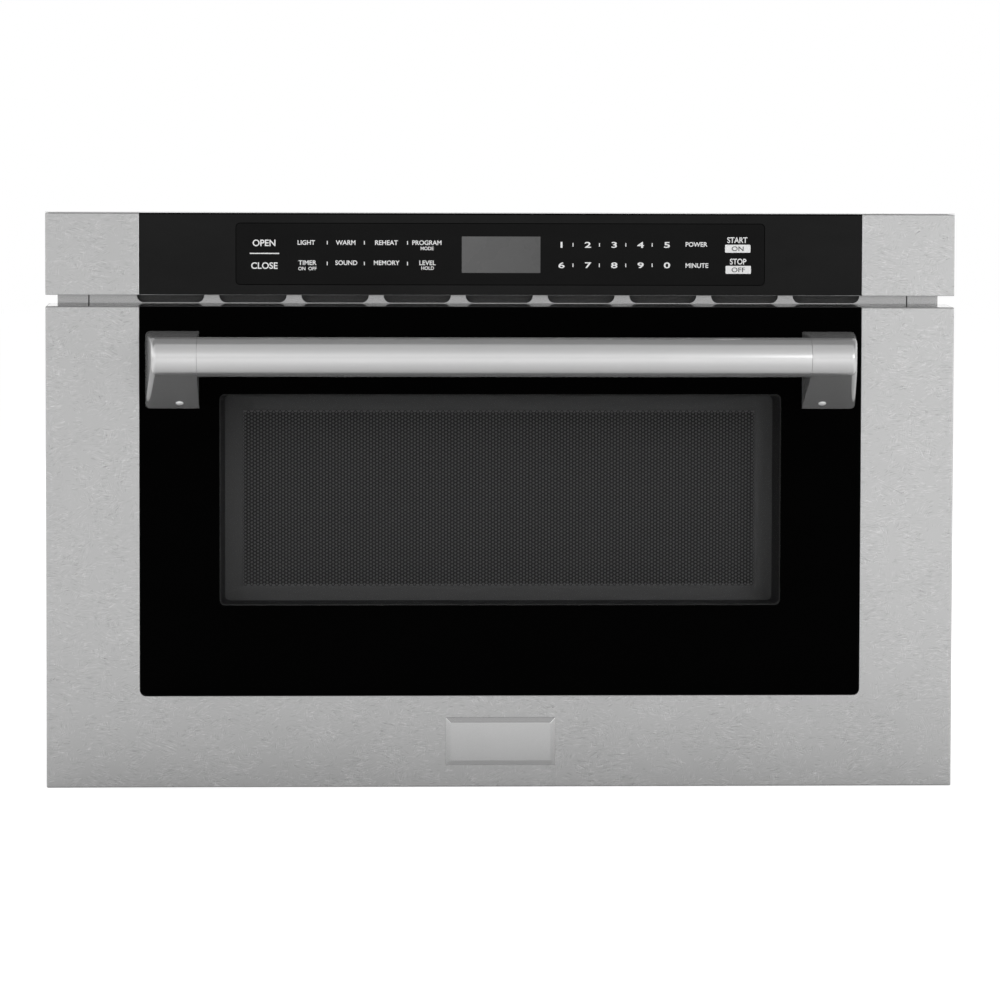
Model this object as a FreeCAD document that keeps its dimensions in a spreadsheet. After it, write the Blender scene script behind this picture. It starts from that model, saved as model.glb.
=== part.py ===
# Built-in microwave drawer, 24 inch class. Millimetres; front faces -Y, up is +Z.
# The origin is the centre of the four flange screw holes on the flange's back face.
import FreeCAD, Part
import math
import operator
import os
from types import SimpleNamespace

import Sketcher

dimensions = {
    # front
    "frontWidth": 606.4,
    "frontHeight": 384.2,
    "frontStandOff": 36.0,       # flange back face to the steel front
    "stripHeight": 55.2,         # fixed control strip
    "stripGap": 7.7,             # open gap under the strip
    "sideBand": 62.2,            # steel beside the glass
    "bottomBand": 61.2,          # steel under the glass
    "skinSheet": 1.0,
    "foldRadius": 0.8,
    "glassThickness": 4.0,
    "glassRecess": 0.6,          # glass behind the steel face
    "glassSeam": 0.3,
    "glassCorner": 4.2,
    # window in the drawer front
    "windowSide": 53.2,          # printed glass beside the window
    "windowHeight": 141.5,
    "windowCorner": 3.5,
    "windowMiddle": 0.25,        # height of the window's middle
    "frameSheet": 1.5,
    "doorGap": 1.5,              # drawer front to flange
    "chokeDepth": 5.0,
    "chokeSeam": 0.7,
    "screenSheet": 0.8,
    "screenBorder": 16.0,
    "innerGlass": 3.0,
    # handle
    "barRadius": 13.0,
    "barWall": 1.5,
    "barReach": 43.6,            # glass to bar centre
    "barHeight": 96.9,
    "handleInset": 21.8,         # glass edge to bracket middle
    "noseTaper": 5.1,            # outer cheek leans in by this much at the bar
    "footWidth": 35.8,
    "footTop": 16.0,             # above the bar centre
    "footBottom": 35.5,          # below the bar centre
    "noseFillet": 3.5,
    "spigotLength": 10.0,
    "fitGap": 0.05,
    "handleScrewRadius": 2.5,
    "handleScrewHead": 5.0,
    "handleScrewDepth": 14.0,
    "handleScrewSpacing": 26.0,
    "setScrewRadius": 2.4,
    "setScrewDepth": 4.5,
    "setScrewSunk": 0.2,
    "setScrewShift": 5.2,        # bracket middle to the set screw
    "setScrewUp": 8.75,          # glass to the set screw, along the lower face
    # badge plate
    "badgeWidth": 73.4,
    "badgeHeight": 32.2,
    "badgeThickness": 2.4,
    "badgeBevel": 3.4,
    "badgeEdge": 0.6,
    # body
    "frontOverSide": 26.2,       # front beyond each body side
    "frontOverTop": 10.1,        # front above the body
    "frontUnder": 6.1,           # front below the body
    "bodyDepth": 555.0,
    "panelSheet": 1.0,
    "lipHeight": 12.0,
    "flangeOverlap": 20.5,       # flange beyond each body side
    "flangeDrop": 3.0,           # flange below the body
    "flangeShort": 7.1,          # flange under the front's top
    "flangeSheet": 1.5,
    "flangeInset": 1.0,          # flange window inside the side panels
    "flangeSill": 9.5,           # flange window below the slides
    "flangeHead": 4.0,           # flange window above the latch hooks
    "screwEdge": 10.5,           # screw hole to the flange's side edge
    "screwSpacingZ": 220.0,
    "screwHoleRadius": 2.5,
    "ventWeb": 15.0,             # sheet between two vent slots
    "ventHeight": 10.0,
    "ventCount": 9,
    "louvreWidth": 46.0,
    "louvreHeight": 3.0,
    "louvrePitch": 9.0,
    "louvreCount": 8,
    "panelScrewRadius": 1.8,
    "panelScrewHead": 3.8,
    "panelScrewLength": 8.0,
    "cordHoleRadius": 11.0,
    # cavity and drawer box
    "cavitySide": 54.0,          # cavity to the inside of a side panel
    "cavityFootroom": 91.0,      # body bottom to the cavity
    "cavityHeadroom": 36.05,     # cavity top to the vent line
    "cavityDepth": 430.0,
    "cavitySheet": 1.0,
    "facePlateBorder": 23.0,     # face plate beside the cavity mouth
    "wellRadius": 124.0,
    "wellDepth": 16.0,
    "wellY": 215.0,
    "wellCover": 0.8,
    "wellSeat": 5.0,
    "tubSideGap": 2.8,
    "tubFloorGap": 3.0,
    "tubDepth": 422.0,
    "tubWallHeight": 156.0,
    "tubSheet": 1.0,
    "tubLedge": 18.0,
    "tubLip": 14.0,
    "hemWidth": 2.0,
    "floorThickness": 5.0,
    "floorSeam": 0.5,
    # slides and drive
    "slideHeight": 45.0,
    "slideThickness": 13.2,
    "slideLength": 440.0,
    "slideRise": 73.0,           # slide middle above the body's bottom
    "slideStart": 4.0,
    "slideSheet": 1.2,
    "ballGap": 3.0,
    "webGap": 0.8,
    "bracketSheet": 2.0,
    "bracketLength": 70.0,
    "bracketHeight": 16.0,
    "toothModule": 2.0,
    "pinionTeeth": 15,
    "rackLength": 424.0,
    "rackStart": 5.0,
    "rackWidth": 10.0,
    "rackHeight": 11.0,
    "meshGap": 0.1,
    "pinionY": 26.0,
    "driveShaftRadius": 4.0,
    "gearboxSide": 46.0,
    "gearboxDepth": 22.0,
    "motorRadius": 17.0,
    "motorLength": 55.0,
    # latch
    "hookX": 150.0,
    "hookRise": 6.0,             # hook middle above the cavity
    "hookSheet": 3.0,
    "hookTall": 8.0,
    "hookReach": 14.0,
    "hookSlot": 2.0,
    "hookFoot": 1.2,
    "switchWidth": 18.0,
    "switchDepth": 30.0,
    "plungerOut": 6.0,
    "plungerRadius": 1.6,
    "plungerGap": 0.4,
    # microwave feed
    "guideWidth": 90.0,
    "guideHeight": 32.0,
    "guideStart": 120.0,
    "guideEnd": 520.0,
    "guideSheet": 1.0,
    "antennaRadius": 95.0,
    "antennaSheet": 1.5,
    "antennaShaft": 4.0,
    "antennaSlotWidth": 14.0,
    "motorCupRadius": 22.0,
    "motorCupHeight": 24.0,
    "magnetronY": 488.0,
    "magnetronWidth": 76.0,
    "magnetronDepth": 64.0,
    "magnetronCore": 19.0,
    "finCount": 6,
    "finPitch": 9.0,
    "finSheet": 1.2,
    "domeRadius": 8.0,
    # transformer, capacitor and power board
    "coreX": 180.0,
    "coreWidth": 70.0,
    "coreDepth": 70.0,
    "coreHeight": 62.0,
    "coreGap": 22.0,             # behind the cavity
    "coilBorder": 12.0,
    "footSheet": 3.0,
    "canX": 92.0,
    "canSpan": 38.0,
    "canRadius": 15.0,
    "canHeight": 80.0,
    "canGap": 45.0,              # behind the cavity
    "tabWidth": 6.0,
    "boardWidth": 120.0,
    "boardDepth": 80.0,
    "boardRise": 110.0,          # above the base
    # lamp
    "lampX": 152.0,
    "lampY": 227.0,
    "lampHoodWidth": 64.0,
    "lampHoodDepth": 48.0,
    "lampHoodHeight": 44.0,
    "bulbRadius": 10.0,
    "bulbLength": 19.0,
    # cooling
    "fanX": 165.0,
    "fanZ": 60.0,
    "fanSide": 120.0,
    "fanDepth": 30.0,
    "fanRadius": 54.0,
    "bladeRadius": 51.0,
    "bladeCount": 7,
    "hubRadius": 14.0,
    "fanMotorRadius": 22.0,
    "fanMotorLength": 34.0,
    "fanMotorCore": 16.0,
    "fanBoreDepth": 13.0,
    "strutWidth": 10.0,
    "strutSheet": 3.0,
    "hubLength": 20.0,
    "hubSetBack": 4.0,
    "bladeRoot": 10.0,
    "bladeChord": 16.0,
    "bladeSheet": 1.6,
    "ductHeight": 24.0,
    "ductDepth": 60.0,
    # control strip
    "boardSheet": 1.6,
    "touchSide": 65.0,           # glass beside the touch board
    "touchHeight": 41.0,
    "displayWidth": 52.4,
    "displayHeight": 24.2,
    "displayDepth": 9.0,
    "controlBoardWidth": 240.0,
    "controlBoardHeight": 40.0,
    "postLength": 7.4,
    "postRadius": 2.5,
}


class Size:
    # a length that carries its number and the sheet formula that drives it
    signs = {"+": operator.add, "-": operator.sub, "*": operator.mul, "/": operator.truediv}

    def __init__(self, text, number):
        self.text = text
        self.number = number

    def join(self, sign, other, swapped=False):
        pair = [self, asSize(other)]
        if swapped:
            pair.reverse()
        first, second = pair
        text = f"({first.text} {sign} {second.text})"
        return Size(text, Size.signs[sign](first.number, second.number))

    def __add__(self, other):
        return self.join("+", other)

    def __radd__(self, other):
        return self.join("+", other, True)

    def __sub__(self, other):
        return self.join("-", other)

    def __rsub__(self, other):
        return self.join("-", other, True)

    def __mul__(self, other):
        return self.join("*", other)

    def __rmul__(self, other):
        return self.join("*", other, True)

    def __truediv__(self, other):
        return self.join("/", other)

    def __neg__(self):
        return Size(f"(0 - {self.text})", -self.number)

    def __float__(self):
        return float(self.number)


def asSize(value):
    return value if isinstance(value, Size) else Size(repr(value), value)


doc = FreeCAD.newDocument("MicrowaveDrawer")
sheet = doc.addObject("Spreadsheet::Sheet", "dims")
for row, (alias, number) in enumerate(dimensions.items(), start=1):
    sheet.set(f"A{row}", alias)
    sheet.set(f"B{row}", str(number))
    sheet.setAlias(f"B{row}", alias)
doc.recompute()
d = SimpleNamespace(**{name: Size(f"dims.{name}", number) for name, number in dimensions.items()})
nodes = {}


# ---- helpers -------------------------------------------------------------

def bind(target, prop, size):
    target.setExpression(prop, asSize(size).text)


def place(target, x, y, z):
    for axis, size in zip("xyz", (x, y, z)):
        bind(target, f"Placement.Base.{axis}", size)


def node(name, target):
    target.Label = name
    nodes[name] = target
    return target


def box(name, x, y, z):
    solid = doc.addObject("Part::Box", name)
    for prop, (low, high) in zip(("Length", "Width", "Height"), (x, y, z)):
        bind(solid, prop, asSize(high) - low)
    place(solid, x[0], y[0], z[0])
    return solid


turns = {
    "X": FreeCAD.Rotation(FreeCAD.Vector(0, 1, 0), 90),
    "Y": FreeCAD.Rotation(FreeCAD.Vector(1, 0, 0), -90),
    "Z": FreeCAD.Rotation(),
}


def rod(name, axis, start, radius, length):
    solid = doc.addObject("Part::Cylinder", name)
    solid.Placement = FreeCAD.Placement(FreeCAD.Vector(), turns[axis])
    bind(solid, "Radius", radius)
    bind(solid, "Height", length)
    place(solid, *start)
    return solid


def fuse(name, *solids):
    if len(solids) == 1:
        return solids[0]
    joined = doc.addObject("Part::MultiFuse", name)
    joined.Shapes = list(solids)
    return joined


def cut(name, base, *tools):
    result = doc.addObject("Part::Cut", name)
    result.Base = base
    result.Tool = fuse(name + "_tools", *tools)
    return result


def shell(name, x, y, z, sheetSize, openings):
    # a sheet box; openings name the sides left open, such as "y-" for the front
    inner = []
    for axis, (low, high) in zip("xyz", (x, y, z)):
        lowIn = asSize(low) - 1 if axis + "-" in openings else low + sheetSize
        highIn = asSize(high) + 1 if axis + "+" in openings else high - sheetSize
        inner.append((lowIn, highIn))
    return cut(name, box(name + "_outer", x, y, z), box(name + "_inner", *inner))


def pinPoint(sketch, geometry, end, point):
    for axis, size in zip("XY", point):
        size = asSize(size)
        rule = Sketcher.Constraint("Distance" + axis, -1, 1, geometry, end, float(size))
        index = sketch.addConstraint(rule)
        sketch.setExpression(f"Constraints[{index}]", size.text)


def drawOutline(sketch, points):
    first = sketch.GeometryCount
    corners = [FreeCAD.Vector(float(asSize(x)), float(asSize(y)), 0) for x, y in points]
    for start, end in zip(corners, corners[1:] + corners[:1]):
        sketch.addGeometry(Part.LineSegment(start, end), False)
    for number in range(len(points)):
        following = first + (number + 1) % len(points)
        sketch.addConstraint(Sketcher.Constraint("Coincident", first + number, 2, following, 1))
        pinPoint(sketch, first + number, 1, points[number])


def drawCircle(sketch, centre, radius):
    middle = FreeCAD.Vector(float(asSize(centre[0])), float(asSize(centre[1])), 0)
    circle = Part.Circle(middle, FreeCAD.Vector(0, 0, 1), float(radius))
    index = sketch.addGeometry(circle, False)
    pinPoint(sketch, index, 3, centre)
    rule = sketch.addConstraint(Sketcher.Constraint("Radius", index, float(radius)))
    sketch.setExpression(f"Constraints[{rule}]", asSize(radius).text)


def rectangle(x, y):
    return [(x[0], y[0]), (x[1], y[0]), (x[1], y[1]), (x[0], y[1])]


def addSketch(body, role, start, outlines, circles=()):
    sketch = body.newObject("Sketcher::SketchObject", f"{body.Name}_sketch")
    plane = next(item for item in body.Origin.OriginFeatures if item.Role == role)
    sketch.AttachmentSupport = [(plane, "")]
    sketch.MapMode = "FlatFace"
    bind(sketch, "AttachmentOffset.Base.z", start)
    for outline in outlines:
        drawOutline(sketch, outline)
    for centre, radius in circles:
        drawCircle(sketch, centre, radius)
    return sketch


def extrude(body, kind, role, span, outlines, circles=()):
    # on the XZ plane the sketch normal is -Y, so the sketch starts at the rear end
    low, high = span
    start = -asSize(high) if role == "XZ_Plane" else low
    sketch = addSketch(body, role, start, outlines, circles)
    feature = body.newObject(f"PartDesign::{kind}", f"{body.Name}_{kind}")
    feature.Profile = sketch
    bind(feature, "Length", asSize(high) - low)
    if kind == "Pocket":
        feature.Reversed = True
    body.Tip = feature
    doc.recompute([sketch, feature])
    return feature


def plate(name, role, span, outlines, circles=()):
    body = doc.addObject("PartDesign::Body", name)
    extrude(body, "Pad", role, span, outlines, circles)
    return body


def rounding(body, radius, chosen):
    # rounds the edges of the tip whose middle and direction pass the test
    tip = body.Tip
    names = []
    for number, edge in enumerate(tip.Shape.Edges, start=1):
        middle = edge.valueAt((edge.FirstParameter + edge.LastParameter) / 2)
        along = edge.tangentAt((edge.FirstParameter + edge.LastParameter) / 2)
        if chosen(middle, along):
            names.append(f"Edge{number}")
    feature = body.newObject("PartDesign::Fillet", f"{body.Name}_fillet")
    feature.Base = (tip, names)
    bind(feature, "Radius", radius)
    body.Tip = feature
    doc.recompute([feature])
    return feature


def near(first, second):
    return abs(float(first) - float(second)) < 0.01


def mirrored(sign, span):
    return span if sign > 0 else (-asSize(span[1]), -asSize(span[0]))


sides = (("left", -1), ("right", 1))


# ---- shared places -------------------------------------------------------

frontY = -d.frontStandOff
frontHalf = d.frontWidth / 2
frontTop = d.frontHeight / 2
frontBottom = -frontTop
stripBottom = frontTop - d.stripHeight
drawerTop = stripBottom - d.stripGap
glassHalf = frontHalf - d.sideBand
glassBottom = frontBottom + d.bottomBand
glassY = frontY + d.glassRecess
glassBack = glassY + d.glassThickness
windowHalf = glassHalf - d.windowSide
windowLow = d.windowMiddle - d.windowHeight / 2
windowHigh = windowLow + d.windowHeight
flangeY = -d.flangeSheet
doorBack = flangeY - d.doorGap
chokeY = doorBack - d.chokeDepth
bodyHalf = frontHalf - d.frontOverSide
panelInner = bodyHalf - d.panelSheet
bodyBottom = frontBottom + d.frontUnder
bodyTop = frontTop - d.frontOverTop
baseTop = bodyBottom + d.panelSheet
flangeHalf = bodyHalf + d.flangeOverlap
flangeBottom = bodyBottom - d.flangeDrop
flangeTop = frontTop - d.flangeShort
ventZ = stripBottom - d.stripGap / 2
ventPitch = 2 * bodyHalf / (dimensions["ventCount"] + 1)
ventHalf = (ventPitch - d.ventWeb) / 2
cavityHalf = panelInner - d.cavitySide
cavityLow = bodyBottom + d.cavityFootroom
cavityHigh = ventZ - d.cavityHeadroom
wellFloor = cavityLow - d.wellDepth
guideTop = wellFloor - d.cavitySheet
guideBottom = guideTop - d.guideHeight
tubHalf = cavityHalf - d.tubSideGap
tubBottom = cavityLow + d.tubFloorGap
tubTop = tubBottom + d.tubWallHeight
tubBack = doorBack + d.tubDepth
facePlateHalf = cavityHalf + d.facePlateBorder
hookHeight = cavityHigh + d.cavitySheet + d.hookRise
slideZ = bodyBottom + d.slideRise
slideInner = panelInner - d.slideThickness
windowHalfX = panelInner - d.flangeInset
flangeWindow = ((-windowHalfX, windowHalfX),
                (slideZ - d.slideHeight / 2 - d.flangeSill, hookHeight + d.hookTall / 2 + d.flangeHead))
handleX = glassHalf - d.handleInset
barHalf = handleX - d.footWidth / 2


# ---- body ----------------------------------------------------------------

def buildCase():
    across = (-panelInner, panelInner)
    depth = (0, d.bodyDepth)
    lipTop = baseTop + d.lipHeight
    node("base_pan", fuse(
        "base_pan",
        box("base_floor", across, depth, (bodyBottom, baseTop)),
        box("base_lip_left", (-panelInner, d.panelSheet - panelInner), depth, (baseTop, lipTop)),
        box("base_lip_right", (panelInner - d.panelSheet, panelInner), depth, (baseTop, lipTop)),
    ))
    for side, sign in sides:
        name = f"{side}_side_panel"
        node(name, box(name, mirrored(sign, (panelInner, bodyHalf)), depth, (bodyBottom, bodyTop)))
    cover = box("cover_sheet", across, depth, (bodyTop - d.panelSheet, bodyTop))
    slots = []
    for row in range(dimensions["louvreCount"]):
        y = d.bodyDepth - 60 - d.louvrePitch * row
        for side, sign in sides:
            slots.append(box(f"cover_slot_{side}_{row}", mirrored(sign, (60, 60 + 2 * d.louvreWidth)),
                             (y, y + d.louvreHeight), (bodyTop - 2 * d.panelSheet, bodyTop + 1)))
    node("top_cover", cut("top_cover", cover, *slots))


def panelScrewPlaces():
    edge = d.lipHeight
    for x in (edge - panelInner, panelInner - edge):
        for z in (baseTop + 2 * edge, (bodyTop + bodyBottom) / 2, bodyTop - edge):
            yield x, z


def buildRearPanel():
    low, high = d.bodyDepth - d.panelSheet, d.bodyDepth
    outline = rectangle((d.panelSheet - panelInner, panelInner - d.panelSheet),
                        (baseTop, bodyTop - d.panelSheet))
    body = plate("rear_panel", "XZ_Plane", (low, high), [outline])
    circles = [(point, d.panelScrewRadius) for point in panelScrewPlaces()]
    circles.append(((-d.fanX, d.fanZ - d.fanSide), d.cordHoleRadius))
    slots = []
    for row in range(dimensions["louvreCount"]):
        z = d.fanZ - d.louvrePitch * (row - (dimensions["louvreCount"] - 1) / 2)
        for column in (-1, 0, 1):
            if column == 0 or 0 < row < dimensions["louvreCount"] - 1:
                x = d.fanX + column * d.louvreWidth * 0.74
                half = d.louvreWidth * 0.34
                slots.append(rectangle((x - half, x + half), (z, z + d.louvreHeight)))
    extrude(body, "Pocket", "XZ_Plane", (low - 1, high + 1), slots, circles)
    node("rear_panel", body)

    parts = []
    for number, (x, z) in enumerate(panelScrewPlaces()):
        parts.append(fuse(
            f"panel_screw_{number}",
            rod(f"screw_head_{number}", "Y", (x, high, z), d.panelScrewHead, 2),
            rod(f"screw_shank_{number}", "Y", (x, high - d.panelScrewLength, z),
                d.panelScrewRadius, d.panelScrewLength),
        ))
    group = doc.addObject("Part::Compound", "panel_screws")
    group.Links = parts
    node("panel_screws", group)

    hole = (-d.fanX, d.fanZ - d.fanSide)
    bushing = fuse(
        "bushing_body",
        rod("bushing_neck", "Y", (hole[0], low - 4, hole[1]), d.cordHoleRadius, 12),
        rod("bushing_collar", "Y", (hole[0], high, hole[1]), d.cordHoleRadius + 3, 4),
        rod("bushing_nut", "Y", (hole[0], low - 4, hole[1]), d.cordHoleRadius + 3, 4),
    )
    bore = rod("bushing_bore", "Y", (hole[0], low - 6, hole[1]), d.cordHoleRadius * 0.4, 20)
    node("cord_bushing", cut("cord_bushing", bushing, bore))


def buildFlange():
    outer = rectangle((-flangeHalf, flangeHalf), (flangeBottom, flangeTop))
    body = plate("mounting_flange", "XZ_Plane", (flangeY, 0), [outer])
    holes = [((sx * (flangeHalf - d.screwEdge), sz * d.screwSpacingZ / 2), d.screwHoleRadius)
             for sx in (-1, 1) for sz in (-1, 1)]
    extrude(body, "Pocket", "XZ_Plane", (flangeY - 1, 1), [rectangle(*flangeWindow)], holes)
    slots = []
    for number in range(dimensions["ventCount"]):
        x = ventPitch * (number - (dimensions["ventCount"] - 1) / 2)
        slots.append(rectangle((x - ventHalf, x + ventHalf),
                               (ventZ - d.ventHeight / 2, ventZ + d.ventHeight / 2)))
    extrude(body, "Pocket", "XZ_Plane", (flangeY - 1, 1), slots)
    node("mounting_flange", body)


def buildCavity():
    facePlate = plate("cavity_face_plate", "XZ_Plane", (flangeY, 0), [
        rectangle((-facePlateHalf, facePlateHalf), flangeWindow[1]),
        rectangle((-cavityHalf, cavityHalf), (cavityLow, cavityHigh)),
    ])
    slots = []
    for side, sign in sides:
        x = mirrored(sign, (d.hookX - d.hookSheet / 2 - d.hookSlot, d.hookX + d.hookSheet / 2 + d.hookSlot))
        z = (hookHeight - d.hookTall / 2 - d.hookSlot / 2, hookHeight + d.hookTall / 2 + d.hookSlot / 2)
        slots.append(rectangle(x, z))
    extrude(facePlate, "Pocket", "XZ_Plane", (flangeY - 1, 1), slots)
    node("cavity_face_plate", facePlate)

    wall = d.cavitySheet
    outer = fuse(
        "cavity_outer",
        box("cavity_block", (-cavityHalf - wall, cavityHalf + wall), (0, d.cavityDepth + wall),
            (cavityLow - wall, cavityHigh + wall)),
        rod("well_outer", "Z", (0, d.wellY, guideTop), d.wellRadius + wall, d.wellDepth + wall),
    )
    inner = [
        box("cavity_space", (-cavityHalf, cavityHalf), (-1, d.cavityDepth), (cavityLow, cavityHigh)),
        rod("well_space", "Z", (0, d.wellY, wellFloor), d.wellRadius, d.wellDepth + 1),
        rod("shaft_hole", "Z", (0, d.wellY, guideTop - 1), 2.5 * d.antennaShaft, wall + 2),
    ]
    for row in range(4):
        for column in range(6):
            start = (d.lampX + 8 * (column - 2.5), d.lampY + 8 * (row - 1.5), cavityHigh - 1)
            inner.append(rod(f"lamp_hole_{row}_{column}", "Z", start, 2, wall + 2))
    node("oven_cavity", cut("oven_cavity", outer, *inner))
    node("antenna_cover", rod("antenna_cover", "Z", (0, d.wellY, cavityLow),
                              d.wellRadius + d.wellSeat, d.wellCover))


# ---- microwave feed ------------------------------------------------------

def buildFeed():
    half = d.guideWidth / 2
    launcher = (0, d.magnetronY)
    guide = shell("guide_duct", (-half, half), (d.guideStart, d.guideEnd), (guideBottom, guideTop),
                  d.guideSheet, ())
    node("waveguide", cut(
        "waveguide", guide,
        rod("guide_feed_hole", "Z", (0, d.wellY, guideTop - 2), 2.5 * d.antennaShaft, 4),
        rod("guide_motor_hole", "Z", (0, d.wellY, guideBottom - 2), 1.5 * d.antennaShaft, 4),
        rod("guide_launch_hole", "Z", (*launcher, guideTop - 2), d.domeRadius + 2, 4),
    ))

    cupTop = guideBottom
    cup = fuse(
        "motor_cup",
        rod("motor_can", "Z", (0, d.wellY, cupTop - d.motorCupHeight), d.motorCupRadius, d.motorCupHeight),
        box("motor_tabs", (-1.5 * d.motorCupRadius, 1.5 * d.motorCupRadius),
            (d.wellY - 5, d.wellY + 5), (cupTop - d.panelSheet, cupTop)),
    )
    bore = rod("motor_bore", "Z", (0, d.wellY, cupTop - 10), d.antennaShaft + d.fitGap, 12)
    node("antenna_motor", cut("antenna_motor", cup, bore))

    discLow = wellFloor + d.wellDepth / 2
    disc = rod("antenna_disc", "Z", (0, d.wellY, discLow), d.antennaRadius, d.antennaSheet)
    slots = []
    for number, (sx, sy) in enumerate(((1, 0), (-1, 0), (0, 1), (0, -1))):
        reachX = d.antennaRadius * 0.62 * sx
        reachY = d.antennaRadius * 0.62 * sy
        halfX = (1 - abs(sx)) * d.antennaRadius * 0.2 + d.antennaSlotWidth / 2
        halfY = (1 - abs(sy)) * d.antennaRadius * 0.2 + d.antennaSlotWidth / 2
        slots.append(box(f"antenna_slot_{number}", (reachX - halfX, reachX + halfX),
                         (d.wellY + reachY - halfY, d.wellY + reachY + halfY),
                         (discLow - 1, discLow + d.antennaSheet + 1)))
    plateWithSlots = cut("antenna_plate", disc, *slots)
    shaftLow = cupTop - 8
    node("stirrer_antenna", fuse(
        "stirrer_antenna", plateWithSlots,
        rod("antenna_shaft", "Z", (0, d.wellY, shaftLow), d.antennaShaft, discLow - shaftLow + 1),
        rod("antenna_hub", "Z", (0, d.wellY, discLow - 3), 2 * d.antennaShaft, 3),
    ))

    width, depth = d.magnetronWidth / 2, d.magnetronDepth / 2
    stack = d.finPitch * (dimensions["finCount"] + 1)
    parts = [
        box("magnetron_base", (-width, width), (d.magnetronY - depth, d.magnetronY + depth),
            (guideTop, guideTop + 2)),
        rod("magnetron_core", "Z", (*launcher, guideTop), d.magnetronCore, stack + 3),
        rod("magnetron_dome", "Z", (*launcher, guideTop - 20), d.domeRadius, 21),
        box("magnetron_filter", (-width * 0.8, width * 0.8),
            (d.magnetronY - depth * 0.8, d.magnetronY + depth * 0.8),
            (guideTop + stack + 2, guideTop + stack + 28)),
    ]
    for side, sign in sides:
        parts.append(box(f"magnetron_yoke_{side}", mirrored(sign, (width - 2, width)),
                         (d.magnetronY - depth, d.magnetronY + depth), (guideTop, guideTop + stack + 2)))
    parts.append(box("magnetron_roof", (-width, width), (d.magnetronY - depth, d.magnetronY + depth),
                     (guideTop + stack, guideTop + stack + 2)))
    for number in range(dimensions["finCount"]):
        z = guideTop + d.finPitch * (number + 1)
        parts.append(box(f"magnetron_fin_{number}", (1 - width, width - 1),
                         (d.magnetronY - depth + 2, d.magnetronY + depth - 2), (z, z + d.finSheet)))
    node("magnetron", fuse("magnetron", *parts))


# ---- electrics and cooling ----------------------------------------------

def buildElectrics():
    rearFace = d.cavityDepth + d.cavitySheet
    low = baseTop
    half, border = d.coreWidth / 2, d.coilBorder
    start, end = rearFace + d.coreGap, rearFace + d.coreGap + d.coreDepth
    node("high_voltage_transformer", fuse(
        "high_voltage_transformer",
        box("transformer_core", (-d.coreX - half, half - d.coreX), (start, end), (low, low + d.coreHeight)),
        box("transformer_feet", (-d.coreX - half - border, half + border - d.coreX), (start, end),
            (low, low + d.footSheet)),
        box("transformer_coils", (border - d.coreX - half, half - border - d.coreX),
            (start - border, end + border), (low + border, low + d.coreHeight - border)),
    ))

    side, y = d.canSpan / 2, rearFace + d.canGap
    canLow, canTop = low + d.footSheet, low + d.footSheet + d.canHeight
    strap = side + d.canRadius + border / 2
    parts = [
        box("capacitor_body", (-d.canX - side, side - d.canX), (y - d.canRadius, y + d.canRadius),
            (canLow, canTop)),
        box("capacitor_strap", (-d.canX - strap, strap - d.canX), (y - d.canRadius, y + d.canRadius),
            (low, canLow)),
    ]
    for name, sign in sides:
        x = sign * side - d.canX
        tab = x - sign * d.canRadius * 0.6
        parts.append(rod(f"capacitor_end_{name}", "Z", (x, y, canLow), d.canRadius, d.canHeight))
        parts.append(box(f"capacitor_tab_{name}", (tab - d.tabWidth / 2, tab + d.tabWidth / 2),
                         (y, y + d.boardSheet / 2), (canTop, canTop + 2 * d.tabWidth)))
    node("high_voltage_capacitor", fuse("high_voltage_capacitor", *parts))

    boardZ = low + d.boardRise
    top = boardZ + d.boardSheet
    boardY = (rearFace + d.coreGap, rearFace + d.coreGap + d.boardDepth)
    middleY = (boardY[0] + boardY[1]) / 2
    edge = d.boardWidth / 10 - panelInner
    relay = d.boardWidth / 7
    parts = [
        box("power_board_sheet", (edge, edge + d.boardWidth), boardY, (boardZ, top)),
        box("power_board_ledge", (-panelInner, edge + relay / 2), boardY, (boardZ - d.footSheet, boardZ)),
        rod("filter_capacitor", "Z", (edge + 4 * relay, boardY[1] - relay, top), relay / 2, 1.5 * relay),
    ]
    for number, (first, last, tall) in enumerate(((1, 3, 1.4), (3.5, 4.5, 1), (5, 6, 1))):
        parts.append(box(f"board_block_{number}", (edge + first * relay, edge + last * relay),
                         (middleY - 1.5 * relay, middleY), (boardZ, top + tall * relay)))
    node("power_board", fuse("power_board", *parts))


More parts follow.
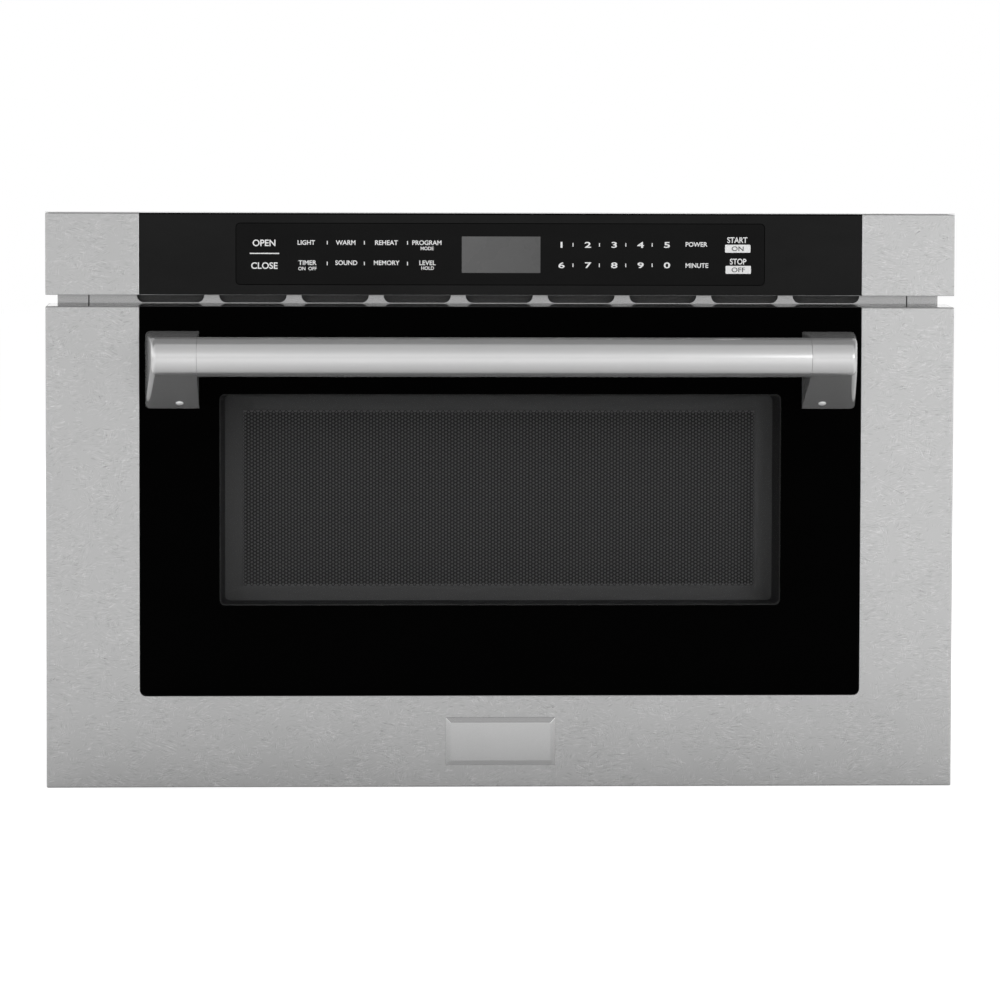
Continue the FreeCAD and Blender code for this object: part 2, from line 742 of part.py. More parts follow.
def buildFan():
    half = d.fanSide / 2
    rear = d.bodyDepth - d.panelSheet
    front = rear - d.fanDepth
    x, z = (d.fanX - half, d.fanX + half), (d.fanZ - half, d.fanZ + half)
    frame = cut("fan_frame", box("fan_block", x, (front, rear), z),
                rod("fan_bore", "Y", (d.fanX, front - 1, d.fanZ), d.fanRadius, d.fanDepth + 2))
    strut = d.strutWidth / 2
    seat = front - d.strutSheet
    struts = [
        box("fan_strut_x", x, (seat, front), (d.fanZ - strut, d.fanZ + strut)),
        box("fan_strut_z", (d.fanX - strut, d.fanX + strut), (seat, front), z),
        rod("fan_seat", "Y", (d.fanX, seat, d.fanZ), d.fanMotorRadius + 2, d.strutSheet),
    ]
    hole = rod("fan_seat_hole", "Y", (d.fanX, seat - 1, d.fanZ), d.antennaShaft + 2, d.strutSheet + 3)
    node("fan_housing", cut("fan_housing", fuse("fan_frame_struts", frame, *struts), hole))

    motorStart = seat - d.fanMotorLength
    coreStart = motorStart + d.fanMotorCore / 2
    coreX, coreZ = d.fanMotorRadius + 6, d.fanMotorRadius + 4
    can = fuse(
        "fan_motor_body",
        rod("fan_motor_can", "Y", (d.fanX, motorStart, d.fanZ), d.fanMotorRadius, d.fanMotorLength),
        box("fan_motor_core", (d.fanX - coreX, d.fanX + coreX), (coreStart, coreStart + d.fanMotorCore),
            (d.fanZ - coreZ, d.fanZ + coreZ)),
    )
    boreStart = front - d.fanBoreDepth - 2
    bore = rod("fan_motor_bore", "Y", (d.fanX, boreStart, d.fanZ), d.antennaShaft / 2 + d.fitGap,
               d.fanBoreDepth + 1)
    node("fan_motor", cut("fan_motor", can, bore))

    # blades lean about their own spoke; the hub carries a shaft into the motor
    hubStart = front + d.hubSetBack
    blades = []
    count = dimensions["bladeCount"]
    for number in range(count):
        blade = doc.addObject("Part::Box", f"fan_blade_{number}")
        bind(blade, "Length", d.bladeRadius - d.bladeRoot)
        bind(blade, "Width", d.bladeChord)
        bind(blade, "Height", d.bladeSheet)
        spoke = FreeCAD.Rotation(FreeCAD.Vector(0, 1, 0), 360 / count * number)
        pitch = FreeCAD.Rotation(FreeCAD.Vector(1, 0, 0), 38)
        turn = spoke.multiply(pitch)
        corner = turn.multVec(FreeCAD.Vector(float(d.bladeRoot), -float(d.bladeChord) / 2,
                                             -float(d.bladeSheet) / 2))
        blade.Placement = FreeCAD.Placement(FreeCAD.Vector(), turn)
        place(blade, d.fanX + corner.x, hubStart + d.hubLength / 2 + corner.y, d.fanZ + corner.z)
        blades.append(blade)
    rotor = fuse(
        "fan_rotor",
        rod("fan_hub", "Y", (d.fanX, hubStart, d.fanZ), d.hubRadius, d.hubLength),
        rod("fan_shaft", "Y", (d.fanX, front - d.fanBoreDepth, d.fanZ), d.antennaShaft / 2,
            d.fanBoreDepth + d.hubSetBack + 3),
        *blades,
    )
    node("fan_rotor", rotor)


def buildDuct():
    half = ventPitch * dimensions["ventCount"] / 2
    duct = shell("exhaust_duct", (-half, half), (0, d.ductDepth),
                 (ventZ - d.ductHeight / 2, ventZ + d.ductHeight / 2), d.panelSheet, ("y-", "y+"))
    node("exhaust_duct", duct)


def buildLamp():
    seat = cavityHigh + d.cavitySheet
    x = (d.lampX - d.lampHoodWidth / 2, d.lampX + d.lampHoodWidth / 2)
    y = (d.lampY - d.lampHoodDepth / 2, d.lampY + d.lampHoodDepth / 2)
    top = seat + d.lampHoodHeight
    node("lamp_socket", fuse(
        "lamp_socket",
        shell("lamp_hood", x, y, (seat, top), d.cavitySheet, ("z-",)),
        rod("lamp_holder", "Z", (d.lampX, d.lampY, top - 1.4 * d.bulbRadius), 1.2 * d.bulbRadius,
            1.4 * d.bulbRadius),
    ))
    capLow = top - 2.2 * d.bulbRadius
    node("lamp_bulb", fuse(
        "lamp_bulb",
        rod("bulb_cap", "Z", (d.lampX, d.lampY, capLow), 0.7 * d.bulbRadius, 0.8 * d.bulbRadius),
        rod("bulb_glass", "Z", (d.lampX, d.lampY, capLow - d.bulbLength), d.bulbRadius, d.bulbLength),
    ))


# ---- latch ---------------------------------------------------------------

def buildLatch():
    plungers, switches, hooks = [], [], []
    seat = d.hookReach + d.plungerGap
    for side, sign in sides:
        centre = sign * d.hookX
        shelf = cavityHigh + d.cavitySheet
        top = hookHeight + d.hookTall
        front = seat + d.plungerOut
        tall = (hookHeight - d.hookTall / 2, hookHeight + d.hookTall / 2)
        block = box(f"switch_block_{side}", (centre - d.switchWidth / 2, centre + d.switchWidth / 2),
                    (front, front + d.switchDepth), (shelf, top))
        bore = rod(f"switch_bore_{side}", "Y", (centre, front - 1, hookHeight),
                   d.plungerRadius + d.fitGap, d.switchDepth / 2)
        switches.append(cut(f"switch_{side}", block, bore))
        plungers.append(rod(f"plunger_{side}", "Y", (centre, seat, hookHeight), d.plungerRadius,
                            d.plungerOut + d.switchDepth / 2 - 2))
        hooks.append(fuse(
            f"hook_{side}",
            box(f"hook_arm_{side}", (centre - d.hookSheet / 2, centre + d.hookSheet / 2),
                (doorBack, d.hookReach), tall),
            box(f"hook_foot_{side}", (centre - d.switchWidth / 2, centre + d.switchWidth / 2),
                (doorBack, doorBack + d.hookFoot), tall),
        ))
    for name, solids in (("interlock_switches", switches), ("interlock_plungers", plungers),
                         ("latch_hooks", hooks)):
        group = doc.addObject("Part::Compound", name)
        group.Links = solids
        node(name, group)


# ---- control strip -------------------------------------------------------

def buildStrip():
    wall = d.skinSheet
    across = (-glassHalf, glassHalf)
    node("control_housing", fuse(
        "control_housing",
        box("housing_roof", across, (frontY + wall, flangeY), (frontTop - wall, frontTop)),
        box("housing_sill", across, (glassBack, flangeY), (stripBottom, stripBottom + wall)),
        box("housing_back", across, (flangeY - wall, flangeY), (stripBottom, frontTop)),
    ))
    for side, sign in sides:
        name = f"{side}_end_cap"
        node(name, shell(name, mirrored(sign, (glassHalf, frontHalf)), (frontY, flangeY),
                         (stripBottom, frontTop), wall, ("y+",)))
    seam = d.glassSeam
    glass = plate("control_glass", "XZ_Plane", (glassY, glassBack), [
        rectangle((seam - glassHalf, glassHalf - seam), (stripBottom + seam, frontTop - wall - seam))])
    node("control_glass", glass)

    middle = (frontTop + stripBottom) / 2
    boardBack = glassBack + d.boardSheet
    display = rectangle((-d.displayWidth / 2, d.displayWidth / 2),
                        (middle - d.displayHeight / 2, middle + d.displayHeight / 2))
    touch = rectangle((d.touchSide - glassHalf, glassHalf - d.touchSide),
                      (middle - d.touchHeight / 2, middle + d.touchHeight / 2))
    node("touch_board", plate("touch_board", "XZ_Plane", (glassBack, boardBack), [touch, display]))
    node("display_module", plate("display_module", "XZ_Plane", (glassBack, glassBack + d.displayDepth), [
        rectangle((seam - d.displayWidth / 2, d.displayWidth / 2 - seam),
                  (middle + seam - d.displayHeight / 2, middle + d.displayHeight / 2 - seam))]))

    postY = flangeY - wall - d.postLength
    boardY = postY - d.boardSheet
    chip, beeper = d.controlBoardHeight * 0.3, d.controlBoardHeight * 0.18
    beeperX = d.controlBoardWidth / 4
    parts = [
        box("control_board_sheet", (-d.controlBoardWidth / 2, d.controlBoardWidth / 2), (boardY, postY),
            (middle - d.controlBoardHeight / 2, middle + d.controlBoardHeight / 2)),
        box("control_chip", (-chip, chip), (boardY - chip / 4, boardY), (middle - chip, middle + chip)),
        box("control_beeper", (beeperX, beeperX + 2 * beeper), (boardY - beeper, boardY),
            (middle - beeper, middle + beeper)),
    ]
    postX = d.controlBoardWidth / 2 - 3 * d.postRadius
    postZ = d.controlBoardHeight / 2 - 2 * d.postRadius
    for number, (sx, sz) in enumerate(((-1, -1), (-1, 1), (1, -1), (1, 1))):
        start = (sx * postX, postY, middle + sz * postZ)
        parts.append(rod(f"control_post_{number}", "Y", start, d.postRadius, d.postLength))
    node("control_board", fuse("control_board", *parts))


# ---- drawer front --------------------------------------------------------

barY = glassY - d.barReach
footMiddle = d.barHeight + (d.footTop - d.footBottom) / 2
screwHeights = (footMiddle - d.handleScrewSpacing / 2, footMiddle + d.handleScrewSpacing / 2)


def handleScrewPlaces():
    for side, sign in sides:
        for z in screwHeights:
            yield sign * handleX, z


def uprightAt(*corners):
    # picks edges that run front to back through the given corner points
    def chosen(middle, along):
        upright = abs(along.y) > 0.99
        return upright and any(near(middle.x, x) and near(middle.z, z) for x, z in corners)
    return chosen


def buildDrawerFront():
    wall = d.skinSheet
    skinBack = doorBack - 2
    skin = plate("door_skin", "XZ_Plane", (frontY, skinBack),
                 [rectangle((-frontHalf, frontHalf), (frontBottom, drawerTop))])
    extrude(skin, "Pocket", "XZ_Plane", (frontY + wall, skinBack + 1),
            [rectangle((wall - frontHalf, frontHalf - wall), (frontBottom + wall, drawerTop - wall))])
    extrude(skin, "Pocket", "XZ_Plane", (frontY - 1, glassBack + d.glassSeam),
            [rectangle((-glassHalf, glassHalf), (glassBottom, drawerTop + 1))])
    rounding(skin, d.glassCorner, uprightAt((-glassHalf, glassBottom), (glassHalf, glassBottom)))
    rounding(skin, d.foldRadius, lambda middle, along: near(middle.y, frontY) and (
        near(abs(middle.x), frontHalf) or near(middle.z, frontBottom)))
    node("door_skin", skin)

    seam = d.glassSeam
    low = glassBottom + seam
    holes = [(point, d.handleScrewRadius + 1) for point in handleScrewPlaces()]
    glass = plate("door_glass", "XZ_Plane", (glassY, glassBack),
                  [rectangle((seam - glassHalf, glassHalf - seam), (low, drawerTop))], holes)
    rounding(glass, d.glassCorner - seam, uprightAt((seam - glassHalf, low), (glassHalf - seam, low)))
    node("door_glass", glass)

    frameHalf = frontHalf - wall
    window = rectangle((-windowHalf, windowHalf), (windowLow, windowHigh))
    t = d.frameSheet
    frame = plate("door_frame", "XZ_Plane", (glassBack, chokeY),
                  [rectangle((-frameHalf, frameHalf), (frontBottom + wall, drawerTop - wall))],
                  [(point, d.handleScrewRadius + d.fitGap) for point in handleScrewPlaces()])
    extrude(frame, "Pocket", "XZ_Plane", (glassBack + t, chokeY + 1), [
        rectangle((t - frameHalf, frameHalf - t), (frontBottom + wall + t, drawerTop - wall - t)),
        rectangle((-windowHalf - t, windowHalf + t), (windowLow - t, windowHigh + t))])
    extrude(frame, "Pocket", "XZ_Plane", (glassBack - 1, chokeY + 1), [window])
    rounding(frame, d.windowCorner, uprightAt(*window))
    node("door_frame", frame)

    border = d.screenBorder
    opening = ((-windowHalf - border, windowHalf + border), (windowLow - border, windowHigh + border))
    gap = wall + d.chokeSeam
    choke = plate("choke_cover", "XZ_Plane", (chokeY, doorBack), [
        rectangle((gap - frontHalf, frontHalf - gap), (frontBottom + gap, drawerTop - gap)),
        rectangle(*opening)])
    node("choke_cover", choke)
    inset = [(span[0] + seam, span[1] - seam) for span in opening]
    screenBack = chokeY + d.screenSheet
    node("door_screen", plate("door_screen", "XZ_Plane", (chokeY, screenBack), [rectangle(*inset)]))
    node("inner_window", plate("inner_window", "XZ_Plane", (screenBack, screenBack + d.innerGlass),
                               [rectangle(*inset)]))

    badgeZ = (glassBottom + frontBottom) / 2
    front = frontY - d.badgeThickness
    width, height = d.badgeWidth / 2, d.badgeHeight / 2
    bevel = doc.addObject("Part::Wedge", "badge_bevel")
    faces = {
        "Xmin": d.badgeBevel - width, "Xmax": width - d.badgeBevel,
        "Ymin": front, "Ymax": frontY - d.badgeEdge,
        "Zmin": badgeZ - height + d.badgeBevel, "Zmax": badgeZ + height - d.badgeBevel,
        "X2min": -width, "X2max": width, "Z2min": badgeZ - height, "Z2max": badgeZ + height,
    }
    for prop, size in faces.items():
        bind(bevel, prop, size)
    edge = box("badge_edge", (-width, width), (frontY - d.badgeEdge, frontY),
               (badgeZ - height, badgeZ + height))
    node("badge_plate", fuse("badge_plate", bevel, edge))


def buildHandle():
    bar = rod("bar_tube", "X", (-barHalf, barY, d.barHeight), d.barRadius, 2 * barHalf)
    bore = rod("bar_bore", "X", (-barHalf - 1, barY, d.barHeight), d.barRadius - d.barWall, 2 * barHalf + 2)
    node("handle_bar", cut("handle_bar", bar, bore))

    # upper and lower faces leave the foot and touch the round nose
    def touchPoint(rise, way):
        run, climb = float(d.barReach), float(rise)
        lean = math.atan2(climb, run) - math.asin(float(d.barRadius) / math.hypot(run, climb))
        return lean, (barY - d.barRadius * math.sin(lean), d.barHeight + way * d.barRadius * math.cos(lean))

    lean, touch = touchPoint(d.footBottom, -1)
    profile = [
        (glassY, d.barHeight + d.footTop),
        touchPoint(d.footTop, 1)[1],
        touch,
        (glassY, d.barHeight - d.footBottom),
    ]
    foot = d.footWidth / 2
    beyond = barY - 2 * d.barRadius
    floor = d.barHeight - d.footBottom
    setScrews = []
    for side, sign in sides:
        centre = sign * handleX
        body = doc.addObject("PartDesign::Body", f"bracket_body_{side}")
        extrude(body, "Pad", "YZ_Plane", (centre - foot, centre + foot), [profile])
        extrude(body, "Pad", "YZ_Plane", (centre - foot, centre + foot), [],
                [((barY, d.barHeight), d.barRadius)])
        noseFront = foot - d.noseTaper * (glassY - beyond) / d.barReach
        outerCheek = [(centre + sign * foot, glassY), (centre + sign * noseFront, beyond),
                      (centre + sign * (foot + 5), beyond), (centre + sign * (foot + 5), glassY)]
        extrude(body, "Pocket", "XY_Plane", (floor - 5, d.barHeight + d.footTop + 5), [outerCheek])
        edge = float(handleX)
        rounding(body, d.noseFillet, lambda middle, along: abs(middle.x) > edge + 5
                 and middle.y < float(glassY) - 0.5 and abs(along.x) < 0.9)
        spigot = mirrored(sign, (barHalf - d.spigotLength, barHalf + 1))
        extrude(body, "Pad", "YZ_Plane", spigot, [],
                [((barY, d.barHeight), d.barRadius - d.barWall - d.fitGap)])
        holes = [((centre, z), d.handleScrewRadius + d.fitGap) for z in screwHeights]
        extrude(body, "Pocket", "XZ_Plane", (glassY - d.handleScrewDepth, glassY + 1), [], holes)

        # the set screw sits square in the lower face, near the glass
        screwAt = (centre - sign * d.setScrewShift, glassY - d.setScrewUp * math.cos(lean),
                   floor + d.setScrewUp * math.sin(lean))
        inward = FreeCAD.Rotation(FreeCAD.Vector(1, 0, 0), -math.degrees(lean))
        tools = []
        hole = ("hole", d.setScrewRadius + d.fitGap, d.setScrewDepth + 2 * d.setScrewSunk, d.setScrewSunk)
        screw = ("screw", d.setScrewRadius, d.setScrewDepth, 0)
        for label, radius, depth, out in (hole, screw):
            pin = doc.addObject("Part::Cylinder", f"set_{label}_{side}")
            pin.Placement = FreeCAD.Placement(FreeCAD.Vector(), inward)
            bind(pin, "Radius", radius)
            bind(pin, "Height", depth)
            tools.append(pin)
            shift = inward.multVec(FreeCAD.Vector(0, 0, -float(out)))
            place(pin, screwAt[0], screwAt[1] + shift.y, screwAt[2] + shift.z)
        name = f"handle_bracket_{side}"
        node(name, cut(name, body, tools[0]))
        setScrews.append(tools[1])
    group = doc.addObject("Part::Compound", "bracket_set_screws")
    group.Links = setScrews
    node("bracket_set_screws", group)

    screws = []
    plateBack = glassBack + d.frameSheet
    for number, (x, z) in enumerate(handleScrewPlaces()):
        start = glassY - d.handleScrewDepth + 1
        screws.append(fuse(
            f"handle_screw_{number}",
            rod(f"handle_shank_{number}", "Y", (x, start, z), d.handleScrewRadius, plateBack - start + 1),
            rod(f"handle_head_{number}", "Y", (x, plateBack, z), d.handleScrewHead, 3),
        ))
    group = doc.addObject("Part::Compound", "handle_screws")
    group.Links = screws
    node("handle_screws", group)


# ---- drawer box, slides and drive ---------------------------------------

def buildTub():
    wall = d.tubSheet
    walls = shell("tub_walls", (-tubHalf, tubHalf), (doorBack, tubBack), (tubBottom, tubTop), wall,
                  ("y-", "z+"))
    ledge = box("tub_opening", (d.tubLedge - tubHalf, tubHalf - d.tubLedge),
                (doorBack + d.tubLedge, tubBack - d.tubLedge), (tubBottom - 1, tubBottom + wall + 1))
    lipX = tubHalf + d.tubLip
    lip = cut("tub_lip",
              box("lip_plate", (-lipX, lipX), (doorBack, doorBack + 0.8), (tubBottom - d.tubLip, tubTop)),
              box("lip_hole", (wall - tubHalf, tubHalf - wall), (doorBack - 1, doorBack + 2),
                  (tubBottom + wall, tubTop + 1)))
    hem = cut("tub_hem",
              box("hem_block", (-tubHalf, tubHalf), (doorBack, tubBack), (tubTop - 5, tubTop)),
              box("hem_space", (d.hemWidth - tubHalf, tubHalf - d.hemWidth),
                  (doorBack - 1, tubBack - d.hemWidth), (tubTop - 6, tubTop + 1)))
    node("drawer_tub", fuse("drawer_tub", cut("tub_pan", walls, ledge), lip, hem))

    seam = wall + d.floorSeam
    low = tubBottom + wall
    node("drawer_floor", box("drawer_floor", (seam - tubHalf, tubHalf - seam),
                             (doorBack + d.floorSeam, tubBack - seam), (low, low + d.floorThickness)))


def channel(name, sign, x, y, halfHeight, webSide):
    # a C section along Y; webSide says whether the web is outboard or inboard
    t = d.slideSheet
    outer = box(name + "_outer", mirrored(sign, x), y, (slideZ - halfHeight, slideZ + halfHeight))
    inside = (x[0] - 1, x[1] - t) if webSide == "outboard" else (x[0] + t, x[1] + 1)
    inner = box(name + "_inner", mirrored(sign, inside), (y[0] - 1, y[1] + 1),
                (slideZ - halfHeight + t, slideZ + halfHeight - t))
    return cut(name, outer, inner)


def buildSlides():
    t, gap = d.slideSheet, d.webGap
    outerHalf = d.slideHeight / 2
    middleHalf = outerHalf - t - d.ballGap
    innerHalf = middleHalf - t - d.ballGap
    fixed = (d.slideStart, d.slideStart + d.slideLength)
    moving = (doorBack + 1, doorBack + 1 + d.slideLength)
    for side, sign in sides:
        name = f"slide_outer_{side}"
        node(name, channel(name, sign, (slideInner + gap, panelInner), fixed, outerHalf, "outboard"))
        name = f"slide_middle_{side}"
        node(name, channel(name, sign, (slideInner + 2 * gap, panelInner - t - gap), fixed, middleHalf,
                           "outboard"))
        name = f"slide_inner_{side}"
        node(name, channel(name, sign, (slideInner, panelInner - 2 * t - 2 * gap), moving, innerHalf,
                           "inboard"))
        low = slideZ - 1
        plateIn = facePlateHalf + 2
        name = f"slide_bracket_{side}"
        node(name, fuse(
            name,
            box(f"bracket_leg_{side}", mirrored(sign, (slideInner - d.bracketSheet, slideInner)),
                (doorBack, doorBack + d.bracketLength), (low, low + d.bracketHeight)),
            box(f"bracket_foot_{side}", mirrored(sign, (plateIn, slideInner)),
                (doorBack, doorBack + 1), (low, low + d.bracketHeight)),
        ))


def buildDrive():
    # straight-sided rack teeth hang under the right inner slide
    module = float(d.toothModule)
    teeth = dimensions["pinionTeeth"]
    pitch = math.pi * module
    pressure = math.radians(20)
    addendum, dedendum = 0.8 * module, 1.15 * module
    rackTop = float(slideZ) - 2
    tip = rackTop - float(d.rackHeight)
    root = tip + addendum + dedendum
    pitchLine = tip + addendum
    pinionZ = pitchLine - module * teeth / 2 - float(d.meshGap)
    start, length = float(d.rackStart), float(d.rackLength)
    half = pitch / 4 - float(d.meshGap)
    tipHalf = half - addendum * math.tan(pressure)
    rootHalf = half + dedendum * math.tan(pressure)
    first = math.ceil((start - float(d.pinionY)) / pitch + 0.5)
    last = math.floor((start + length - float(d.pinionY)) / pitch - 0.5)
    outline = [(start, rackTop), (start, root)]
    for number in range(first, last + 1):
        y = float(d.pinionY) + number * pitch
        outline += [(y - rootHalf, root), (y - tipHalf, tip), (y + tipHalf, tip), (y + rootHalf, root)]
    outline += [(start + length, root), (start + length, rackTop)]
    outline.append(outline[0])
    rackIn = float(slideInner - d.rackWidth)
    wire = Part.makePolygon([FreeCAD.Vector(rackIn, y, z) for y, z in outline])
    rack = doc.addObject("Part::Feature", "drive_rack")
    rack.Shape = Part.Face(wire).extrude(FreeCAD.Vector(float(d.rackWidth), 0, 0))
    node("drive_rack", rack)

    # involute pinion with a gap upwards, where the rack tooth stands
    pitchRadius = module * teeth / 2
    baseRadius = pitchRadius * math.cos(pressure)
    tipRadius = pitchRadius + 0.95 * module
    rootRadius = pitchRadius - 1.1 * module
    toothHalf = math.pi / 2 / teeth - float(d.meshGap) / pitchRadius / 2

    def flankAngle(radius):
        roll = math.acos(min(1, baseRadius / radius))
        return toothHalf + (math.tan(pressure) - pressure) - (math.tan(roll) - roll)

    steps = 6
    radii = [baseRadius + (tipRadius - baseRadius) * step / steps for step in range(steps + 1)]
    points = []
    for tooth in range(teeth):
        middle = 2 * math.pi * (tooth + 0.5) / teeth
        flank = [(rootRadius, flankAngle(baseRadius))] + [(r, flankAngle(r)) for r in radii]
        points += [(middle - angle, r) for r, angle in flank]
        points += [(middle + angle, r) for r, angle in reversed(flank)]
    corners = [FreeCAD.Vector(0, r * math.sin(a), r * math.cos(a)) for a, r in points]
    corners.append(corners[0])
    width = float(d.rackWidth) - 1
    blank = Part.Face(Part.makePolygon(corners)).extrude(FreeCAD.Vector(width, 0, 0))
    centre = FreeCAD.Vector(rackIn + 0.5, float(d.pinionY), pinionZ)
    blank.translate(centre)
    boxEnd = rackIn - 1
    shaftStart = boxEnd - 12
    shaft = Part.makeCylinder(float(d.driveShaftRadius), centre.x + width - shaftStart,
                              FreeCAD.Vector(shaftStart, centre.y, centre.z), FreeCAD.Vector(1, 0, 0))
    pinion = doc.addObject("Part::Feature", "drive_pinion")
    pinion.Shape = blank.fuse(shaft).removeSplitter()
    node("drive_pinion", pinion)

    side = d.gearboxSide / 2
    boxStart = boxEnd - d.gearboxDepth
    boxY = (d.pinionY - side, d.pinionY + side)
    body = fuse(
        "gearmotor_body",
        box("gearbox", (boxStart, boxEnd), boxY, (pinionZ - side, pinionZ + side)),
        rod("gearbox_motor", "X", (boxStart - d.motorLength, d.pinionY, pinionZ), d.motorRadius,
            d.motorLength + 1),
    )
    bore = rod("gearbox_bore", "X", (boxEnd - 14, d.pinionY, pinionZ), d.driveShaftRadius + d.fitGap, 15)
    node("drive_gearmotor", cut("drive_gearmotor", body, bore))
    t = d.slideSheet
    node("gearmotor_bracket", fuse(
        "gearmotor_bracket",
        box("gearmotor_seat", (boxStart, boxEnd), boxY, (pinionZ - side - t, pinionZ - side)),
        box("gearmotor_leg", (boxStart, boxStart + t), boxY, (baseTop, pinionZ - side)),
        box("gearmotor_foot", (boxStart - d.gearboxDepth, boxStart + t), boxY, (baseTop, baseTop + t)),
    ))


# ---- assembly ------------------------------------------------------------

buildCase()
buildRearPanel()
buildFlange()
buildCavity()
buildFeed()
buildElectrics()
buildFan()
buildDuct()
buildLamp()
buildLatch()
buildStrip()
buildDrawerFront()
buildHandle()
buildTub()
buildSlides()
buildDrive()
doc.recompute()

for item in doc.Objects:
    if "Invalid" in item.State or "Error" in item.State:
        raise RuntimeError(f"{item.Name} failed: {item.State}")
for name, item in nodes.items():
    if item.Shape.isNull() or not item.Shape.isValid() or not item.Shape.Solids:
        raise RuntimeError(f"{name} has no valid solid")

os.makedirs("parts", exist_ok=True)
for name, item in nodes.items():
    item.Shape.exportStep(f"parts/{name}.step")
print(f"{len(nodes)} parts written")
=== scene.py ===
import math

import bmesh
import bpy
from mathutils import Matrix, Quaternion, Vector


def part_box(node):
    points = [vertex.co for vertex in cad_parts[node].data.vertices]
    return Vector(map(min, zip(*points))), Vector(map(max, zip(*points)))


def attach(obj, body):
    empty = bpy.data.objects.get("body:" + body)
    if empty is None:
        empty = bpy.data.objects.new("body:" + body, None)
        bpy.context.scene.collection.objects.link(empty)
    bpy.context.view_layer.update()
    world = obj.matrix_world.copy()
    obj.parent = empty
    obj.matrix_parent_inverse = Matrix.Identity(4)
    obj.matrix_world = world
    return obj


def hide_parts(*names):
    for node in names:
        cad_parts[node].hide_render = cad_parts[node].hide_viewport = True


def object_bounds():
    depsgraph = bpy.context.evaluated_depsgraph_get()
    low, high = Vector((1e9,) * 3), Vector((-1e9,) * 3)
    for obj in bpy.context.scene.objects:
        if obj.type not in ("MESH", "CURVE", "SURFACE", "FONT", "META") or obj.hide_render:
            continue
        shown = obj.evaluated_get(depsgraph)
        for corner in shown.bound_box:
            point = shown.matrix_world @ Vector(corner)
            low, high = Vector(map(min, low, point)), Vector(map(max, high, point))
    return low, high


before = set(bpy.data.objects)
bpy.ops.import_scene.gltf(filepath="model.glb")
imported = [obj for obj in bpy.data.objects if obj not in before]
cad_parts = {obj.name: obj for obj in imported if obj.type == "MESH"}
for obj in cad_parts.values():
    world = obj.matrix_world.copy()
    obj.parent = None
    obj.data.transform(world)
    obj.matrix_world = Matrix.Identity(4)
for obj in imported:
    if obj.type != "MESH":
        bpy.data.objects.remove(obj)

# Looks of the microwave drawer. Metres; the front faces -Y and up is +Z.
bpy.context.view_layer.update()
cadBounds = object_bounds()
mm = 0.001


def findSocket(sockets, key):
    if isinstance(key, int):
        return sockets[key]
    return next(item for item in sockets if item.enabled and key in (item.name, item.identifier))


class Wire:
    # a shader socket that can stand in a sum
    def __init__(self, shader, socket):
        self.shader = shader
        self.socket = socket

    def output(self, name):
        return Wire(self.shader, findSocket(self.socket.node.outputs, name))

    def join(self, operation, other, swapped=False):
        pair = (other, self) if swapped else (self, other)
        kinds = {item.socket.type for item in pair if isinstance(item, Wire)}
        if "RGBA" in kinds:
            settings = {"data_type": "RGBA", "blend_type": operation}
            return self.shader.node("Mix", settings, {"Factor": 1.0, "A": pair[0], "B": pair[1]}, "Result")
        kind = "VectorMath" if "VECTOR" in kinds else "Math"
        return self.shader.node(kind, {"operation": operation}, {0: pair[0], 1: pair[1]})

    def __add__(self, other):
        return self.join("ADD", other)

    def __radd__(self, other):
        return self.join("ADD", other, True)

    def __sub__(self, other):
        return self.join("SUBTRACT", other)

    def __rsub__(self, other):
        return self.join("SUBTRACT", other, True)

    def __mul__(self, other):
        return self.join("MULTIPLY", other)

    def __rmul__(self, other):
        return self.join("MULTIPLY", other, True)


class Shader:
    # a node tree; every node but the sums comes from node()
    def __init__(self, tree):
        self.tree = tree
        tree.nodes.clear()

    def node(self, kind, settings=None, sockets=None, output=0):
        made = self.tree.nodes.new("ShaderNode" + kind)
        for key, value in (settings or {}).items():
            if key == "stops":
                ramp = made.color_ramp
                while len(ramp.elements) < len(value):
                    ramp.elements.new(0.5)
                for element, (position, grey) in zip(ramp.elements, value):
                    element.position = position
                    element.color = (*grey, 1) if isinstance(grey, tuple) else (grey, grey, grey, 1)
            else:
                setattr(made, key, value)
        for key, value in (sockets or {}).items():
            target = findSocket(made.inputs, key)
            if isinstance(value, Wire):
                self.tree.links.new(value.socket, target)
            elif target.type == "RGBA":
                target.default_value = (*value, 1) if isinstance(value, tuple) else (value, value, value, 1)
            elif target.type == "VECTOR" and not isinstance(value, tuple):
                target.default_value = (value, value, value)
            else:
                target.default_value = value
        return Wire(self, findSocket(made.outputs, output)) if made.outputs else None

    def place(self):
        return self.node("TexCoord", None, None, "Object")

    def noise(self, place, scale, detail=2.0, roughness=0.5):
        return self.node("TexNoise", None, {"Vector": place, "Scale": scale, "Detail": detail,
                                            "Roughness": roughness})

    def ramp(self, factor, *stops):
        return self.node("ValToRGB", {"stops": stops}, {"Fac": factor})

    def between(self, factor, low, high):
        return self.node("MapRange", None, {"Value": factor, "To Min": low, "To Max": high})

    def bump(self, height, distance):
        return self.node("Bump", None, {"Height": height, "Distance": distance, "Strength": 1.0}, "Normal")

    def finish(self, sockets):
        surface = self.node("BsdfPrincipled", None, sockets)
        self.node("OutputMaterial", None, {"Surface": surface})


def newFinish(name):
    material = bpy.data.materials.new(name)
    material.use_nodes = True
    return material, Shader(material.node_tree)


snowSteel = {
    "grey": 0.452,
    "roughness": 0.34,
    "layers": (                # patch size, then the least and greatest lean of its scratches
        (9.0 * mm, -30, 35),
        (6.0 * mm, -10, 40),
        (12.0 * mm, -25, 10),
        (7.5 * mm, 60, 120),
    ),
    "hair": 0.60 * mm,         # width of a scratch
    "stretch": 9,              # length of a scratch over its width
    "contrast": 0.21,
    "cut": 0.022 * mm,
}


